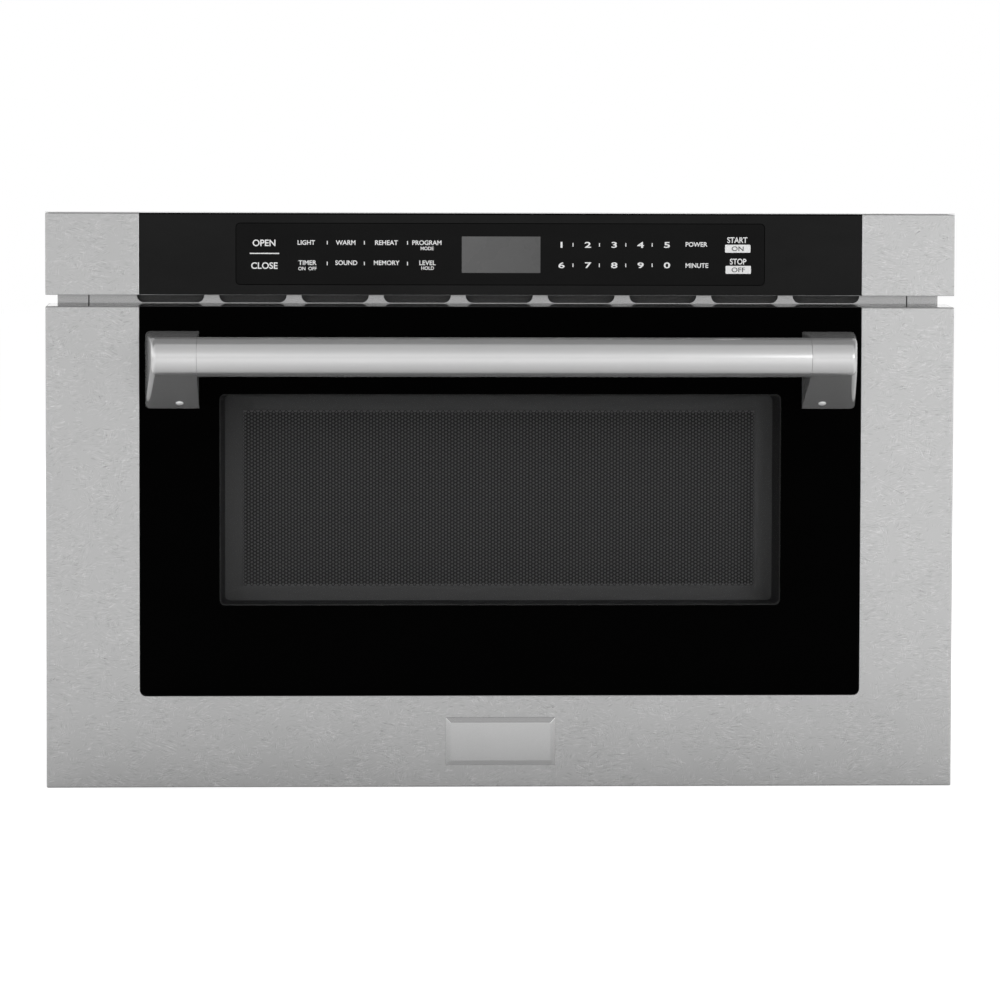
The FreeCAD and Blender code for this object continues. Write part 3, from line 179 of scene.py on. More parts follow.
def makeSnowSteel(name, grey):
    # short scratches in patches; each patch leans its own way, and some stay plain
    material, shader = newFinish(name)
    place = shader.place()
    scratches = 0
    for number, (patch, low, high) in enumerate(snowSteel["layers"]):
        shifted = place + (0.37 * number, 0.11 * number, 0.53 * number)
        cells = shader.node("TexVoronoi", None, {"Vector": shifted, "Scale": 1 / patch}, "Color")
        draw = shader.node("SeparateColor", None, {"Color": cells}, "Red")
        turn = draw * math.radians(high - low) + math.radians(low)
        turned = shader.node("VectorRotate", {"rotation_type": "Y_AXIS"},
                             {"Vector": shifted, "Center": cells.output("Position"), "Angle": turn})
        width = 1 / snowSteel["hair"]
        hairs = shader.noise(turned * (width / snowSteel["stretch"], width, width), 1.0, 1.0)
        bright = shader.node("MapRange", None, {"Value": hairs, "From Min": 0.58, "From Max": 0.76})
        dark = shader.node("MapRange", None, {"Value": hairs, "From Min": 0.41, "From Max": 0.24})
        green = draw.output("Green")
        share = shader.node("MapRange", None, {"Value": green, "From Min": 0.40, "From Max": 0.75})
        scratches = scratches + (bright - dark) * share
    cloud = shader.noise(place, 24.0, 2.0)
    shade = scratches * snowSteel["contrast"] + cloud * 0.06 + 0.97
    shader.finish({
        "Base Color": shader.ramp(shade * 0.5, (0.0, 0.0), (1.0, 2 * grey)),
        "Metallic": 1.0,
        "Roughness": scratches * 0.05 + snowSteel["roughness"],
        "Normal": shader.bump(scratches, snowSteel["cut"]),
    })
    return material


def makeBrushed(name, grey, roughness, stretch, contrast=0.10, metallic=1.0):
    # stretch holds the noise scale along X, Y and Z
    material, shader = newFinish(name)
    place = shader.place()
    lines = shader.noise(place * stretch, 1.0, 3.0)
    cloud = shader.noise(place, 30.0, 2.0)
    shade = lines * contrast + cloud * 0.05 + (1 - contrast / 2 - 0.025)
    shader.finish({
        "Base Color": shader.ramp(shade * 0.5, (0.0, 0.0), (1.0, 2 * grey)),
        "Metallic": metallic,
        "Roughness": lines * 0.10 + (roughness - 0.05),
        "Normal": shader.bump(lines, 0.004 * mm),
    })
    return material


def makeGlass(name, grey, level, alpha=1.0):
    # wiped glass: faint cloudy marks change the gloss a little
    material, shader = newFinish(name)
    marks = shader.noise(shader.place() * (1.0, 1.0, 2.4), 14.0, 4.0, 0.6)
    shader.finish({
        "Base Color": shader.ramp(marks, (0.35, grey), (0.7, grey * 1.25)),
        "Roughness": shader.between(marks, 0.03, 0.075),
        "Specular IOR Level": level,
        "Alpha": alpha,
    })
    return material


def makeEnamel(name, colour, roughness, speckle=0.15, peel=0.02):
    material, shader = newFinish(name)
    place = shader.place()
    grains = shader.noise(place, 1400.0, 2.0)
    waves = shader.noise(place, 320.0, 2.0)
    low = tuple(part * (1 - speckle) for part in colour)
    high = tuple(part * (1 + speckle) for part in colour)
    shader.finish({
        "Base Color": shader.ramp(grains, (0.35, low), (0.65, high)),
        "Roughness": shader.between(waves, roughness - 0.05, roughness + 0.07),
        "Normal": shader.bump(waves, peel * mm),
    })
    return material


def makeGalvanised(name):
    # zinc spangle: flat crystals that each turn the light their own way
    material, shader = newFinish(name)
    place = shader.place()
    bent = place + shader.noise(place, 90.0, 2.0, 0.5).output("Color") * 0.006
    crystals = shader.node("TexVoronoi", None, {"Vector": bent, "Scale": 105.0}, "Color")
    tone = shader.node("SeparateColor", None, {"Color": crystals}, "Red")
    stain = shader.noise(place, 9.0, 4.0, 0.6)
    shader.finish({
        "Base Color": shader.ramp(tone * 0.75 + stain * 0.25, (0.1, 0.50), (0.9, 0.59)),
        "Metallic": 0.85,
        "Roughness": shader.between(tone, 0.36, 0.50),
        "Normal": shader.bump(tone, 0.006 * mm),
    })
    return material


def makePlastic(name, colour, roughness, grain=0.03):
    material, shader = newFinish(name)
    place = shader.place()
    pits = shader.noise(place, 2600.0, 2.0)
    patches = shader.noise(place, 60.0, 2.0)
    low = tuple(part * 0.92 for part in colour)
    high = tuple(part * 1.08 for part in colour)
    shader.finish({
        "Base Color": shader.ramp(patches, (0.35, low), (0.65, high)),
        "Roughness": shader.between(pits, roughness - 0.06, roughness + 0.06),
        "Normal": shader.bump(pits, grain * mm),
    })
    return material


def makeMica(name):
    material, shader = newFinish(name)
    place = shader.place()
    flakes = shader.node("TexVoronoi", None, {"Vector": place, "Scale": 380.0}, "Color")
    tone = shader.node("SeparateColor", None, {"Color": flakes}, "Green")
    shader.finish({
        "Base Color": shader.ramp(tone, (0.0, (0.40, 0.33, 0.22)), (0.6, (0.62, 0.55, 0.42)),
                                  (1.0, (0.78, 0.72, 0.58))),
        "Roughness": shader.between(tone, 0.3, 0.55),
        "Normal": shader.bump(tone, 0.02 * mm),
    })
    return material


def makeCircuitBoard(name):
    # copper tracks under the green mask
    material, shader = newFinish(name)
    place = shader.place()
    cells = shader.node("TexVoronoi", {"distance": "MANHATTAN", "feature": "F1"},
                        {"Vector": place, "Scale": 150.0}, "Distance")
    tracks = shader.node("Math", {"operation": "PINGPONG"}, {0: cells, 1: 0.12})
    shader.finish({
        "Base Color": shader.ramp(tracks * 8, (0.30, (0.02, 0.10, 0.045)), (0.42, (0.05, 0.24, 0.10))),
        "Roughness": shader.between(tracks, 0.32, 0.42),
        "Normal": shader.bump(tracks, 0.1 * mm),
    })
    return material


def makeDisplay(name):
    # unlit display, a little lighter to the left
    material, shader = newFinish(name)
    place = shader.place()
    across = shader.node("SeparateXYZ", None, {"Vector": place}, "X")
    film = shader.noise(place, 60.0, 3.0)
    shade = shader.between(across * 19.0 + 0.5, 0.110, 0.092) + film * 0.012
    shader.finish({
        "Base Color": shader.ramp(shade, (0.0, 0.0), (1.0, 1.0)),
        "Roughness": shader.between(film, 0.22, 0.34),
        "Specular IOR Level": 0.15,
    })
    return material


def makeInk(name, grey):
    material, shader = newFinish(name)
    screenPrint = shader.noise(shader.place(), 1800.0, 2.0)
    shader.finish({
        "Base Color": shader.ramp(screenPrint, (0.3, grey * 0.94), (0.7, grey)),
        "Roughness": shader.between(screenPrint, 0.4, 0.55),
        "Specular IOR Level": 0.2,
    })
    return material


finishes = {
    "front_steel": makeSnowSteel("snow_scratched_steel", snowSteel["grey"]),
    "badge_steel": makeBrushed("badge_satin_steel", 0.56, 0.16, (1500, 1500, 1500), 0.14),
    "handle_steel": makeBrushed("handle_satin_steel", 0.62, 0.17, (26, 3000, 3000), 0.06, 0.70),
    "bright_screw": makeBrushed("bright_zinc", 0.78, 0.20, (900, 900, 900)),
    "black_glass": makeGlass("black_printed_glass", 0.0006, 0.005),
    "clear_glass": makeGlass("clear_inner_glass", 0.20, 0.4, 0.35),
    "floor_ceramic": makeEnamel("glass_ceramic", (0.36, 0.37, 0.38), 0.22, 0.10, 0.004),
    "galvanised_sheet": makeGalvanised("galvanised_steel"),
    "cavity_enamel": makeEnamel("grey_cavity_enamel", (0.50, 0.50, 0.49), 0.34, 0.12, 0.012),
    "dark_enamel": makeEnamel("black_enamel", (0.030, 0.030, 0.032), 0.42),
    "black_plastic": makePlastic("black_moulding", (0.030, 0.030, 0.032), 0.48),
    "white_plastic": makePlastic("acetal_moulding", (0.78, 0.77, 0.72), 0.42),
    "mica_sheet": makeMica("pressed_mica"),
    "aluminium_cast": makeBrushed("mill_aluminium", 0.68, 0.38, (240, 240, 240), 0.16),
    "circuit_board": makeCircuitBoard("solder_mask"),
    "display_grey": makeDisplay("unlit_display"),
}
controlGlass = makeGlass("control_strip_glass", 0.010, 0.05)
touchGlass = makeGlass("touch_area_glass", 0.005, 0.05)
windowGlass = makeGlass("tinted_window_glass", 0.001, 0.02, 0.34)
screenEnamel = makeEnamel("screen_enamel", (0.095, 0.095, 0.097), 0.5, 0.10)
screenBorder = makeEnamel("screen_border_enamel", (0.265, 0.265, 0.268), 0.5, 0.08)
backingFilm = makeEnamel("inner_window_film", (0.56, 0.56, 0.56), 0.5, 0.10)
# paler enamel for the rim behind the glass: a painted highlight of the glass edge
rimHighlightPaint = makeEnamel("painted_rim_highlight", (0.17, 0.17, 0.17), 0.4, 0.10)
baffleEnamel = makeEnamel("baffle_enamel", (0.20, 0.20, 0.20), 0.5, 0.10)
flangeSteel = makeBrushed("flange_satin_steel", 0.42, 0.24, (40, 40, 1800), 0.08)
returnSteel = makeBrushed("polished_return_steel", 0.66, 0.16, (40, 40, 1800), 0.06)
nickelPlate = makeBrushed("nickel_plate", 0.85, 0.40, (900, 900, 900), 0.06, 0.25)
glossMoulding = makePlastic("gloss_black_moulding", (0.020, 0.020, 0.021), 0.12, 0.002)
seamPaint = makeEnamel("seam_shadow_paint", (0.16, 0.16, 0.16), 0.6, 0.10)
trimSteel = makeBrushed("trim_satin_steel", 0.66, 0.30, (40, 2400, 2400), 0.08)
paleInk = makeInk("pale_print", 0.80)
darkInk = makeInk("dark_print", 0.02)
print("finishes made:", len(bpy.data.materials))


hairline = 0.01 * mm           # gap or corner too small to see
sharpAngle = math.radians(32)


def readyMesh(name, mesh):
    ready = bpy.data.meshes.new(name)
    mesh.to_mesh(ready)
    mesh.free()
    return ready


def newObject(name, data):
    made = bpy.data.objects.new(name, data)
    bpy.context.scene.collection.objects.link(made)
    return made


def addPiece(name, mesh, body, finish, replaced=(), smooth=False):
    # mesh is a bmesh or a ready mesh, in the frame's own places
    if isinstance(mesh, bmesh.types.BMesh):
        mesh = readyMesh(name, mesh)
    if smooth:
        mesh.polygons.foreach_set("use_smooth", [True] * len(mesh.polygons))
        mesh.set_sharp_from_angle(angle=sharpAngle)
    piece = newObject(name, mesh)
    mesh.materials.clear()
    mesh.materials.append(finish)
    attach(piece, body)
    if replaced:
        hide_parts(*replaced)
    return piece


def softenEdges(piece, width, segments=2, byWeight=False):
    bevel = piece.modifiers.new("arris", "BEVEL")
    bevel.width = width
    bevel.segments = segments
    bevel.limit_method = "WEIGHT" if byWeight else "ANGLE"
    bevel.angle_limit = math.radians(30)


def thicken(piece, sheet):
    solid = piece.modifiers.new("sheet", "SOLIDIFY")
    solid.thickness = sheet
    solid.offset = -1


def weldSeams(piece):
    # frame meshes have split corners, which a bevel needs joined
    weld = piece.modifiers.new("weld", "WELD")
    weld.merge_threshold = hairline


def outline(low, high, radii, steps=6):
    # x, z points of a rectangle; radii go round from low x, low z
    centres = ((low[0], low[1], 1, 1), (high[0], low[1], -1, 1), (high[0], high[1], -1, -1),
               (low[0], high[1], 1, -1))
    points = []
    for number, ((x, z, inX, inZ), radius) in enumerate(zip(centres, radii)):
        for step in range(steps + 1):
            angle = math.radians(180 + 90 * number + 90 * step / steps)
            points.append((x + inX * radius + radius * math.cos(angle),
                           z + inZ * radius + radius * math.sin(angle)))
    return points


def bridge(mesh, first, second):
    # a closed band of faces between two rings of as many corners
    for number in range(len(first)):
        after = (number + 1) % len(first)
        mesh.faces.new((first[number], first[after], second[after], second[number]))


def slab(loops, front, back):
    # a plate between two y places; a second loop of as many points is its hole
    mesh = bmesh.new()
    rings = [[[mesh.verts.new((x, y, z)) for x, z in loop] for loop in loops] for y in (front, back)]
    for ring in rings:
        if len(loops) == 1:
            mesh.faces.new(ring[0])
        else:
            bridge(mesh, *ring)
    for near, far in zip(*rings):
        bridge(mesh, near, far)
    bmesh.ops.remove_doubles(mesh, verts=mesh.verts, dist=0.001 * mm)
    bmesh.ops.recalc_face_normals(mesh, faces=mesh.faces)
    return mesh


def joinMeshes(meshes):
    whole = bmesh.new()
    for mesh in meshes:
        whole.from_mesh(mesh)
        bpy.data.meshes.remove(mesh)
    return whole


def tray(points, front, depths, weights, lift=0.0):
    # a folded sheet: its face, and one return along each edge that goes back by its own depth;
    # the top return rises by lift on its way back
    mesh = bmesh.new()
    top, deepest = max(z for x, z in points), max(depths)
    weight = mesh.edges.layers.float.new("bevel_weight_edge")
    face = [mesh.verts.new((x, front, z)) for x, z in points]
    mesh.faces.new(face)
    behind = {}
    for number, depth in enumerate(depths):
        after = (number + 1) % len(points)
        for corner in (number, after):
            if (corner, depth) not in behind:
                x, z = points[corner]
                raised = lift if z == top and depth == deepest else 0
                behind[corner, depth] = mesh.verts.new((x, front + depth, z + raised))
        mesh.faces.new((face[number], behind[number, depth], behind[after, depth], face[after]))
        mesh.edges.get((face[number], face[after]))[weight] = weights[number]
        before = number - 1
        if weights[before] == weights[number] == 1:
            edge = mesh.edges.get((face[number], behind[number, depth]))
            if edge:
                edge[weight] = 1
    bmesh.ops.recalc_face_normals(mesh, faces=mesh.faces)
    for part in mesh.faces:
        if len(part.verts) == len(points) and part.normal.y > 0:
            bmesh.ops.reverse_faces(mesh, faces=mesh.faces)
            break
    return mesh


# drawer front

frontSkin = {
    "fold": 0.8 * mm,
    "glassSeam": 0.3 * mm,
    "glassCorner": 4.2 * mm,
    "edge": 0.35,              # share of the fold kept at the cut edge round the glass
    "sheet": 0.75 * mm,
    "topRise": 1.8 * mm,       # the top rises by this much towards the flange
}
skinLow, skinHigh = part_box("door_skin")
glassLow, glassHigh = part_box("door_glass")
frontHalf = skinHigh.x
frontY = skinLow.y
drawerTop = skinHigh.z
glassHalf = glassHigh.x + frontSkin["glassSeam"]
glassBottom = glassLow.z - frontSkin["glassSeam"]


def buildFrontSkin():
    corner = frontSkin["glassCorner"]
    opening = outline((-glassHalf, glassBottom), (glassHalf, drawerTop), (corner, corner, 0, 0))
    top = len(opening) // 2
    rim = [(glassHalf, drawerTop)] + opening[:top][::-1] + [(-glassHalf, drawerTop)]
    points = [(-frontHalf, skinLow.z), (frontHalf, skinLow.z), (frontHalf, drawerTop)] + rim
    points.append((-frontHalf, drawerTop))
    outer = [True, True, True] + [False] * (len(rim) - 1) + [True, True]
    depths = [skinHigh.y - frontY if edge else glassHigh.y - frontY for edge in outer]
    weights = [1 if edge else frontSkin["edge"] for edge in outer]
    folded = tray(points, frontY, depths, weights, frontSkin["topRise"])
    skin = addPiece("front_skin", folded, "drawer", finishes["front_steel"], ["door_skin"])
    softenEdges(skin, frontSkin["fold"], 4, True)
    thicken(skin, frontSkin["sheet"])


def sloped(left, right, front, back, thickness, rise=0.0):
    # a strip that lies on the drawer's raised top, between two y places
    slope = frontSkin["topRise"] / (skinHigh.y - frontY)
    section = []
    for y in (front, back):
        top = drawerTop + slope * (y - frontY) + rise
        section.append(((y, top), (y, top - thickness)))
    ring = (section[0][0], section[1][0], section[1][1], section[0][1])
    mesh = bmesh.new()
    ends = [[mesh.verts.new((x, y, z)) for y, z in ring] for x in (left, right)]
    for end in ends:
        mesh.faces.new(end)
    bridge(mesh, *ends)
    bmesh.ops.recalc_face_normals(mesh, faces=mesh.faces)
    return mesh


topCap = {
    "thick": 2.0 * mm,
    "arris": 0.3 * mm,
    "foldGap": 0.96 * mm,      # the polished returns start this far behind the front
    "endGap": 1.0 * mm,
    "returnThick": 0.1 * mm,
    "returnRise": 0.06 * mm,
}


def buildTopCap():
    # gloss moulding behind the glass, polished returns beside it
    moulding = sloped(-glassHalf, glassHalf, glassHigh.y, skinHigh.y, topCap["thick"])
    cap = addPiece("drawer_top_cap", moulding, "drawer", glossMoulding)
    softenEdges(cap, topCap["arris"])
    front, reach = frontY + topCap["foldGap"], frontHalf - topCap["endGap"]
    for side, left, right in (("left", -reach, -glassHalf), ("right", glassHalf, reach)):
        lining = sloped(left, right, front, skinHigh.y, topCap["returnThick"], topCap["returnRise"])
        addPiece(f"{side}_top_return", lining, "drawer", returnSteel)


topTrim = {
    "height": 0.6 * mm,
    "seam": 0.4 * mm,          # between the trim and the end caps' skins
    "depth": 0.95 * mm,        # of the trim over the glass
    "overlap": 0.3 * mm,
    "round": 0.25 * mm,
    # height of the black strip under the trim over the glass: a painted shadow line
    "shadowLine": 0.9 * mm,
    "shadowLineInset": 0.4 * mm,
}


def buildEndCaps():
    for side in ("left", "right"):
        low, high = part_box(f"{side}_end_cap")
        top = high.z - topTrim["height"] - topTrim["seam"]
        points = [(low.x, low.z), (high.x, low.z), (high.x, top), (low.x, top)]
        cap = addPiece(f"{side}_cap_skin", tray(points, low.y, [high.y - low.y] * 4, [1] * 4), "chassis",
                       finishes["front_steel"], [f"{side}_end_cap"])
        softenEdges(cap, frontSkin["fold"] / 2, 3, True)
        thicken(cap, frontSkin["sheet"])
        trim = slab([outline((low.x, high.z - topTrim["height"]), (high.x, high.z), (hairline,) * 4, 1)],
                    low.y, high.y)
        lid = addPiece(f"{side}_cap_lid", trim, "chassis", trimSteel, [f"{side}_end_cap"])
        softenEdges(lid, topTrim["round"], 3)
    capLow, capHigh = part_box("left_end_cap")
    paneLow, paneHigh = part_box("control_glass")
    left, right = paneLow.x - topTrim["overlap"], paneHigh.x + topTrim["overlap"]
    front, back = capLow.y, capLow.y + topTrim["depth"]
    top, shadowLineTop = capHigh.z, capHigh.z - topTrim["height"]
    edge = slab([outline((left, shadowLineTop), (right, top), (hairline,) * 4, 1)], front, back)
    topEdge = addPiece("strip_top_edge", edge, "chassis", trimSteel)
    softenEdges(topEdge, topTrim["round"], 3)
    # a black strip under the trim paints the shadow line below the lit top edge
    shadowLineLoop = outline((left, shadowLineTop - topTrim["shadowLine"]), (right, shadowLineTop), (hairline,) * 4, 1)
    shadowLine = slab([shadowLineLoop], front + topTrim["shadowLineInset"], back)
    addPiece("strip_top_shadow_line", shadowLine, "chassis", finishes["black_glass"])


window = {
    "half": 187.8 * mm,
    "low": -70.5 * mm,
    "high": 71.0 * mm,
    "corner": 3.5 * mm,
    "glassTop": 0.3 * mm,      # corner radius at the glass's top edge
    "rim": 0.7 * mm,           # band straight behind the glass, painted lighter: a painted highlight of the glass edge
    "play": 0.1 * mm,          # between the liner and its neighbours
    "panelHalf": 184.8 * mm,   # the liner narrows to this at the screen
    "panelLow": -69.3 * mm,
    "panelHigh": 69.0 * mm,
}


def buildDoorGlass():
    corner = frontSkin["glassCorner"] - frontSkin["glassSeam"]
    radii = (corner, corner, window["glassTop"], window["glassTop"])
    edge = outline((glassLow.x, glassLow.z), (glassHigh.x, glassHigh.z), radii)
    half, radii = window["half"], (window["corner"],) * 4
    hole = outline((-half, window["low"]), (half, window["high"]), radii)
    addPiece("printed_glass", slab([edge, hole], glassLow.y, glassHigh.y), "drawer",
             finishes["black_glass"], ["door_glass"])
    addPiece("window_pane", slab([hole], glassLow.y, glassHigh.y), "drawer",
             windowGlass, ["door_glass"])


def buildLiner():
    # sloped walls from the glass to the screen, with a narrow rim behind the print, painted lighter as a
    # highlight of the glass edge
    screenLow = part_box("door_screen")[0]
    start, end = glassHigh.y + window["play"], screenLow.y - window["play"]
    rim = window["rim"]
    half, low, high = window["half"], window["low"], window["high"]
    rimLoop = (start, half - rim, low + rim, high - rim)
    sections = {
        "window_rim": ((start, half, low, high), rimLoop, rimHighlightPaint),
        "window_liner": (rimLoop, (end, window["panelHalf"], window["panelLow"], window["panelHigh"]),
                         finishes["dark_enamel"]),
    }
    for name, (front, back, finish) in sections.items():
        mesh = bmesh.new()
        loops = []
        for y, reach, bottom, top in (front, back):
            points = outline((-reach, bottom), (reach, top), (window["corner"],) * 4)
            loops.append([mesh.verts.new((x, y, z)) for x, z in points])
        bridge(mesh, *loops)
        bmesh.ops.recalc_face_normals(mesh, faces=mesh.faces)
        addPiece(name, mesh, "drawer", finish, smooth=True)


screen = {
    "halfX": 173.1 * mm,
    "low": -59.6 * mm,
    "high": 59.2 * mm,
    "pitch": 2.44 * mm,        # between the holes of one column
    "hole": 0.80 * mm,         # hole radius
}


def buildScreen():
    low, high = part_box("door_screen")
    mesh = bmesh.new()
    pitch = screen["pitch"]
    column = pitch * math.sqrt(3) / 2
    columns = int(2 * screen["halfX"] / column)
    rows = int((screen["high"] - screen["low"]) / pitch)
    startX = -column * (columns - 1) / 2
    middleZ = (screen["low"] + screen["high"]) / 2
    corners = [math.radians(60 * step) for step in range(6)]
    outerRadius = pitch / math.sqrt(3)
    for number in range(columns):
        x = startX + column * number
        shift = pitch / 4 if number % 2 else -pitch / 4
        for row in range(rows):
            z = middleZ + pitch * (row - (rows - 1) / 2) + shift
            cell, hole = ([mesh.verts.new((x + radius * math.cos(a), low.y, z + radius * math.sin(a)))
                           for a in corners] for radius in (outerRadius, screen["hole"]))
            bridge(mesh, cell, hole)
    bmesh.ops.remove_doubles(mesh, verts=mesh.verts, dist=pitch * 0.05)
    fieldX = -startX + outerRadius
    fieldZ = pitch * rows / 2 + pitch / 4
    field = [(-fieldX, middleZ - fieldZ), (fieldX, middleZ - fieldZ), (fieldX, middleZ + fieldZ),
             (-fieldX, middleZ + fieldZ)]
    sheet = [(low.x, low.z), (high.x, low.z), (high.x, high.z), (low.x, high.z)]
    addPiece("perforated_screen", mesh, "drawer", screenEnamel, ["door_screen"])
    border = bmesh.new()
    inner = [border.verts.new((x, low.y, z)) for x, z in field]
    outer = [border.verts.new((x, low.y, z)) for x, z in sheet]
    bridge(border, outer, inner)
    addPiece("screen_border", border, "drawer", screenBorder, ["door_screen"])


bar = {
    "radius": 13.0 * mm,
    "wall": 1.5 * mm,
    "endRound": 0.5 * mm,
    "endSteps": 5,
    "sides": 96,
}


def buildBar():
    low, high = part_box("handle_bar")
    y, z = (low.y + high.y) / 2, (low.z + high.z) / 2
    bend, radius = bar["endRound"], bar["radius"]
    half = []
    for step in range(bar["endSteps"] + 1):
        angle = math.radians(90 * step / bar["endSteps"])
        half.append((high.x - bend + bend * math.sin(angle), radius - bend + bend * math.cos(angle)))
    profile = [(-x, r) for x, r in reversed(half)] + half
    inner = radius - bar["wall"]
    profile = [(low.x + bar["wall"], inner)] + profile + [(high.x - bar["wall"], inner)]
    mesh = bmesh.new()
    rings = []
    for x, r in profile:
        ring = []
        for side in range(bar["sides"]):
            angle = 2 * math.pi * side / bar["sides"]
            ring.append(mesh.verts.new((x, y + r * math.cos(angle), z + r * math.sin(angle))))
        rings.append(ring)
    for first, second in zip(rings, rings[1:] + rings[:1]):
        bridge(mesh, first, second)
    bmesh.ops.recalc_face_normals(mesh, faces=mesh.faces)
    addPiece("grip_bar", mesh, "drawer", finishes["handle_steel"], ["handle_bar"], True)


setScrews = {
    "radius": 2.6 * mm,
    "rise": 1.0 * mm,
    "rings": 6,
    "sides": 32,
}


def buildSetScrews():
    # a low dome on the outer end of each set screw
    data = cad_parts["bracket_set_screws"].data
    sides = setScrews["sides"]
    turns = [2 * math.pi * number / sides for number in range(sides)]
    whole = bmesh.new()
    for side in (-1, 1):
        corners = [vertex.co for vertex in data.vertices if vertex.co.x * side > 0]
        axis = Vector((0, 0, 0))
        for face in data.polygons:
            if face.center.x * side > 0 and face.normal.y < -0.3 and face.normal.z < -0.3:
                axis += face.normal * face.area
        axis.normalize()
        tip = max(corner.dot(axis) for corner in corners)
        rim = [corner for corner in corners if corner.dot(axis) > tip - 2 * hairline]
        centre = sum(rim, Vector((0, 0, 0))) / len(rim)
        stand = Matrix.Translation(centre) @ axis.to_track_quat("Z", "Y").to_matrix().to_4x4()
        rings = []
        for step in range(setScrews["rings"]):
            angle = math.radians(90 * step / setScrews["rings"])
            radius, rise = setScrews["radius"] * math.cos(angle), setScrews["rise"] * math.sin(angle)
            points = [stand @ Vector((radius * math.cos(a), radius * math.sin(a), rise)) for a in turns]
            rings.append([whole.verts.new(point) for point in points])
        for first, second in zip(rings, rings[1:]):
            bridge(whole, first, second)
        whole.faces.new(rings[-1])
    bmesh.ops.recalc_face_normals(whole, faces=whole.faces)
    addPiece("set_screw_heads", whole, "drawer", nickelPlate, smooth=True)


badgeArris = 0.2 * mm


def dressBadge():
    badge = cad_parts["badge_plate"]
    weldSeams(badge)
    softenEdges(badge, badgeArris, 3)


vents = {
    "count": 9,
    "web": 10.0 * mm,          # sheet left between two slots, at its narrowest
    "height": 10.0 * mm,
    "sill": 0.5 * mm,          # lower edge of the slots over the drawer's raised back edge
    "filled": 6.0 * mm,        # sheet made whole under that edge before the slots are cut
    "baffle": 4.0 * mm,        # depth of the baffle behind the slots
    "baffleSheet": 0.8 * mm,
    "baffleDrop": 5.0 * mm,
    "baffleInset": 4.0 * mm,
    "seamHalf": 0.45 * mm,
    "seamShort": 6.0 * mm,
    "seamInset": 0.5 * mm,
    "seamRise": 0.03 * mm,
}
flangeLow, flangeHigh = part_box("mounting_flange")
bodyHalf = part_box("right_side_panel")[1].x
slotLow = drawerTop + frontSkin["topRise"] + vents["sill"]


def carve(base, filler, cutter):
    # the base with the filler added and the cutter taken away
    helpers = [newObject("helper", readyMesh("helper", mesh)) for mesh in (base, filler, cutter)]
    for helper, operation in zip(helpers[1:], ("UNION", "DIFFERENCE")):
        step = helpers[0].modifiers.new("cut", "BOOLEAN")
        step.operation = operation
        step.object = helper
        step.solver = "EXACT"
    bpy.context.view_layer.update()
    ready = bpy.data.meshes.new_from_object(helpers[0].evaluated_get(bpy.context.evaluated_depsgraph_get()))
    for helper in helpers:
        bpy.data.objects.remove(helper)
    return ready


def buildFlange():
    # the flange sheet with round-ended vent slots
    base = bmesh.new()
    base.from_mesh(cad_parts["mounting_flange"].data)
    bmesh.ops.remove_doubles(base, verts=base.verts, dist=hairline / 2)
    pitch = 2 * bodyHalf / (vents["count"] + 1)
    half, radius = (pitch - vents["web"]) / 2, vents["height"] / 2
    reach = pitch * vents["count"] / 2
    slotHigh = slotLow + vents["height"]
    blank = outline((-reach, slotLow - vents["filled"]), (reach, slotHigh), (0.5 * mm,) * 4, 2)
    filler = slab([blank], flangeLow.y + hairline, flangeHigh.y - hairline)
    prisms = []
    for number in range(vents["count"]):
        centre = pitch * (number - (vents["count"] - 1) / 2)
        slot = outline((centre - half, slotLow), (centre + half, slotHigh), (radius - hairline,) * 4, 10)
        prisms.append(readyMesh("prism", slab([slot], flangeLow.y - 1 * mm, flangeHigh.y + 1 * mm)))
    addPiece("flange_sheet", carve(base, filler, joinMeshes(prisms)), "chassis", flangeSteel,
             ["mounting_flange"])


def buildVents():
    # a baffle stands behind the slots, and the body's sides leave a seam beside them
    reach, front = bodyHalf - vents["baffleInset"], flangeHigh.y + vents["baffle"]
    low, high = (-reach, slotLow - vents["baffleDrop"]), (reach, slotLow + vents["height"])
    baffle = slab([outline(low, high, (1 * mm,) * 4, 2)], front, front + vents["baffleSheet"])
    addPiece("vent_baffle", baffle, "chassis", baffleEnamel)
    wide, short, rise = vents["seamHalf"], vents["seamShort"], vents["seamRise"]
    for side, name in ((-1, "left"), (1, "right")):
        x = side * (bodyHalf - vents["seamInset"])
        low, high = (x - wide, flangeLow.z + short), (x + wide, flangeHigh.z - short)
        seam = slab([outline(low, high, (0.1 * mm,) * 4, 1)], flangeLow.y - rise, flangeLow.y + rise)
        addPiece(f"{name}_flange_seam", seam, "chassis", seamPaint)


buildFrontSkin()
buildTopCap()
buildEndCaps()
buildFlange()
buildVents()
buildDoorGlass()
buildLiner()
buildScreen()
buildBar()
buildSetScrews()
dressBadge()
print("drawer front built")


# control strip

strip = {
    "arris": 0.4 * mm,
    "corner": 0.3 * mm,
    "touchLow": (-177.0 * mm, 143.6 * mm),
    "touchHigh": (176.0 * mm, 185.0 * mm),
    "touchGroove": 0.45 * mm,
    "touchCorner": 3.0 * mm,
    "touchRise": 0.02 * mm,
    "grooveRise": 0.03 * mm,
    "displayLow": (-26.5 * mm, 151.9 * mm),
    "displayHigh": (25.9 * mm, 176.1 * mm),
    "displayCorner": 0.4 * mm,
    "displayRise": 0.06 * mm,
    "print": 0.05 * mm,        # thickness of a print layer
    "capLarge": 4.4 * mm,
    "capSmall": 3.1 * mm,
    "capTiny": 2.3 * mm,
    "capDigit": 3.9 * mm,
    "bold": 0.018,             # stroke growth, in letter heights
    "extrude": 0.004,          # thickness of a letter before it is scaled, in letter heights
    "narrow": 0.87,            # width of the two large words at the right
}
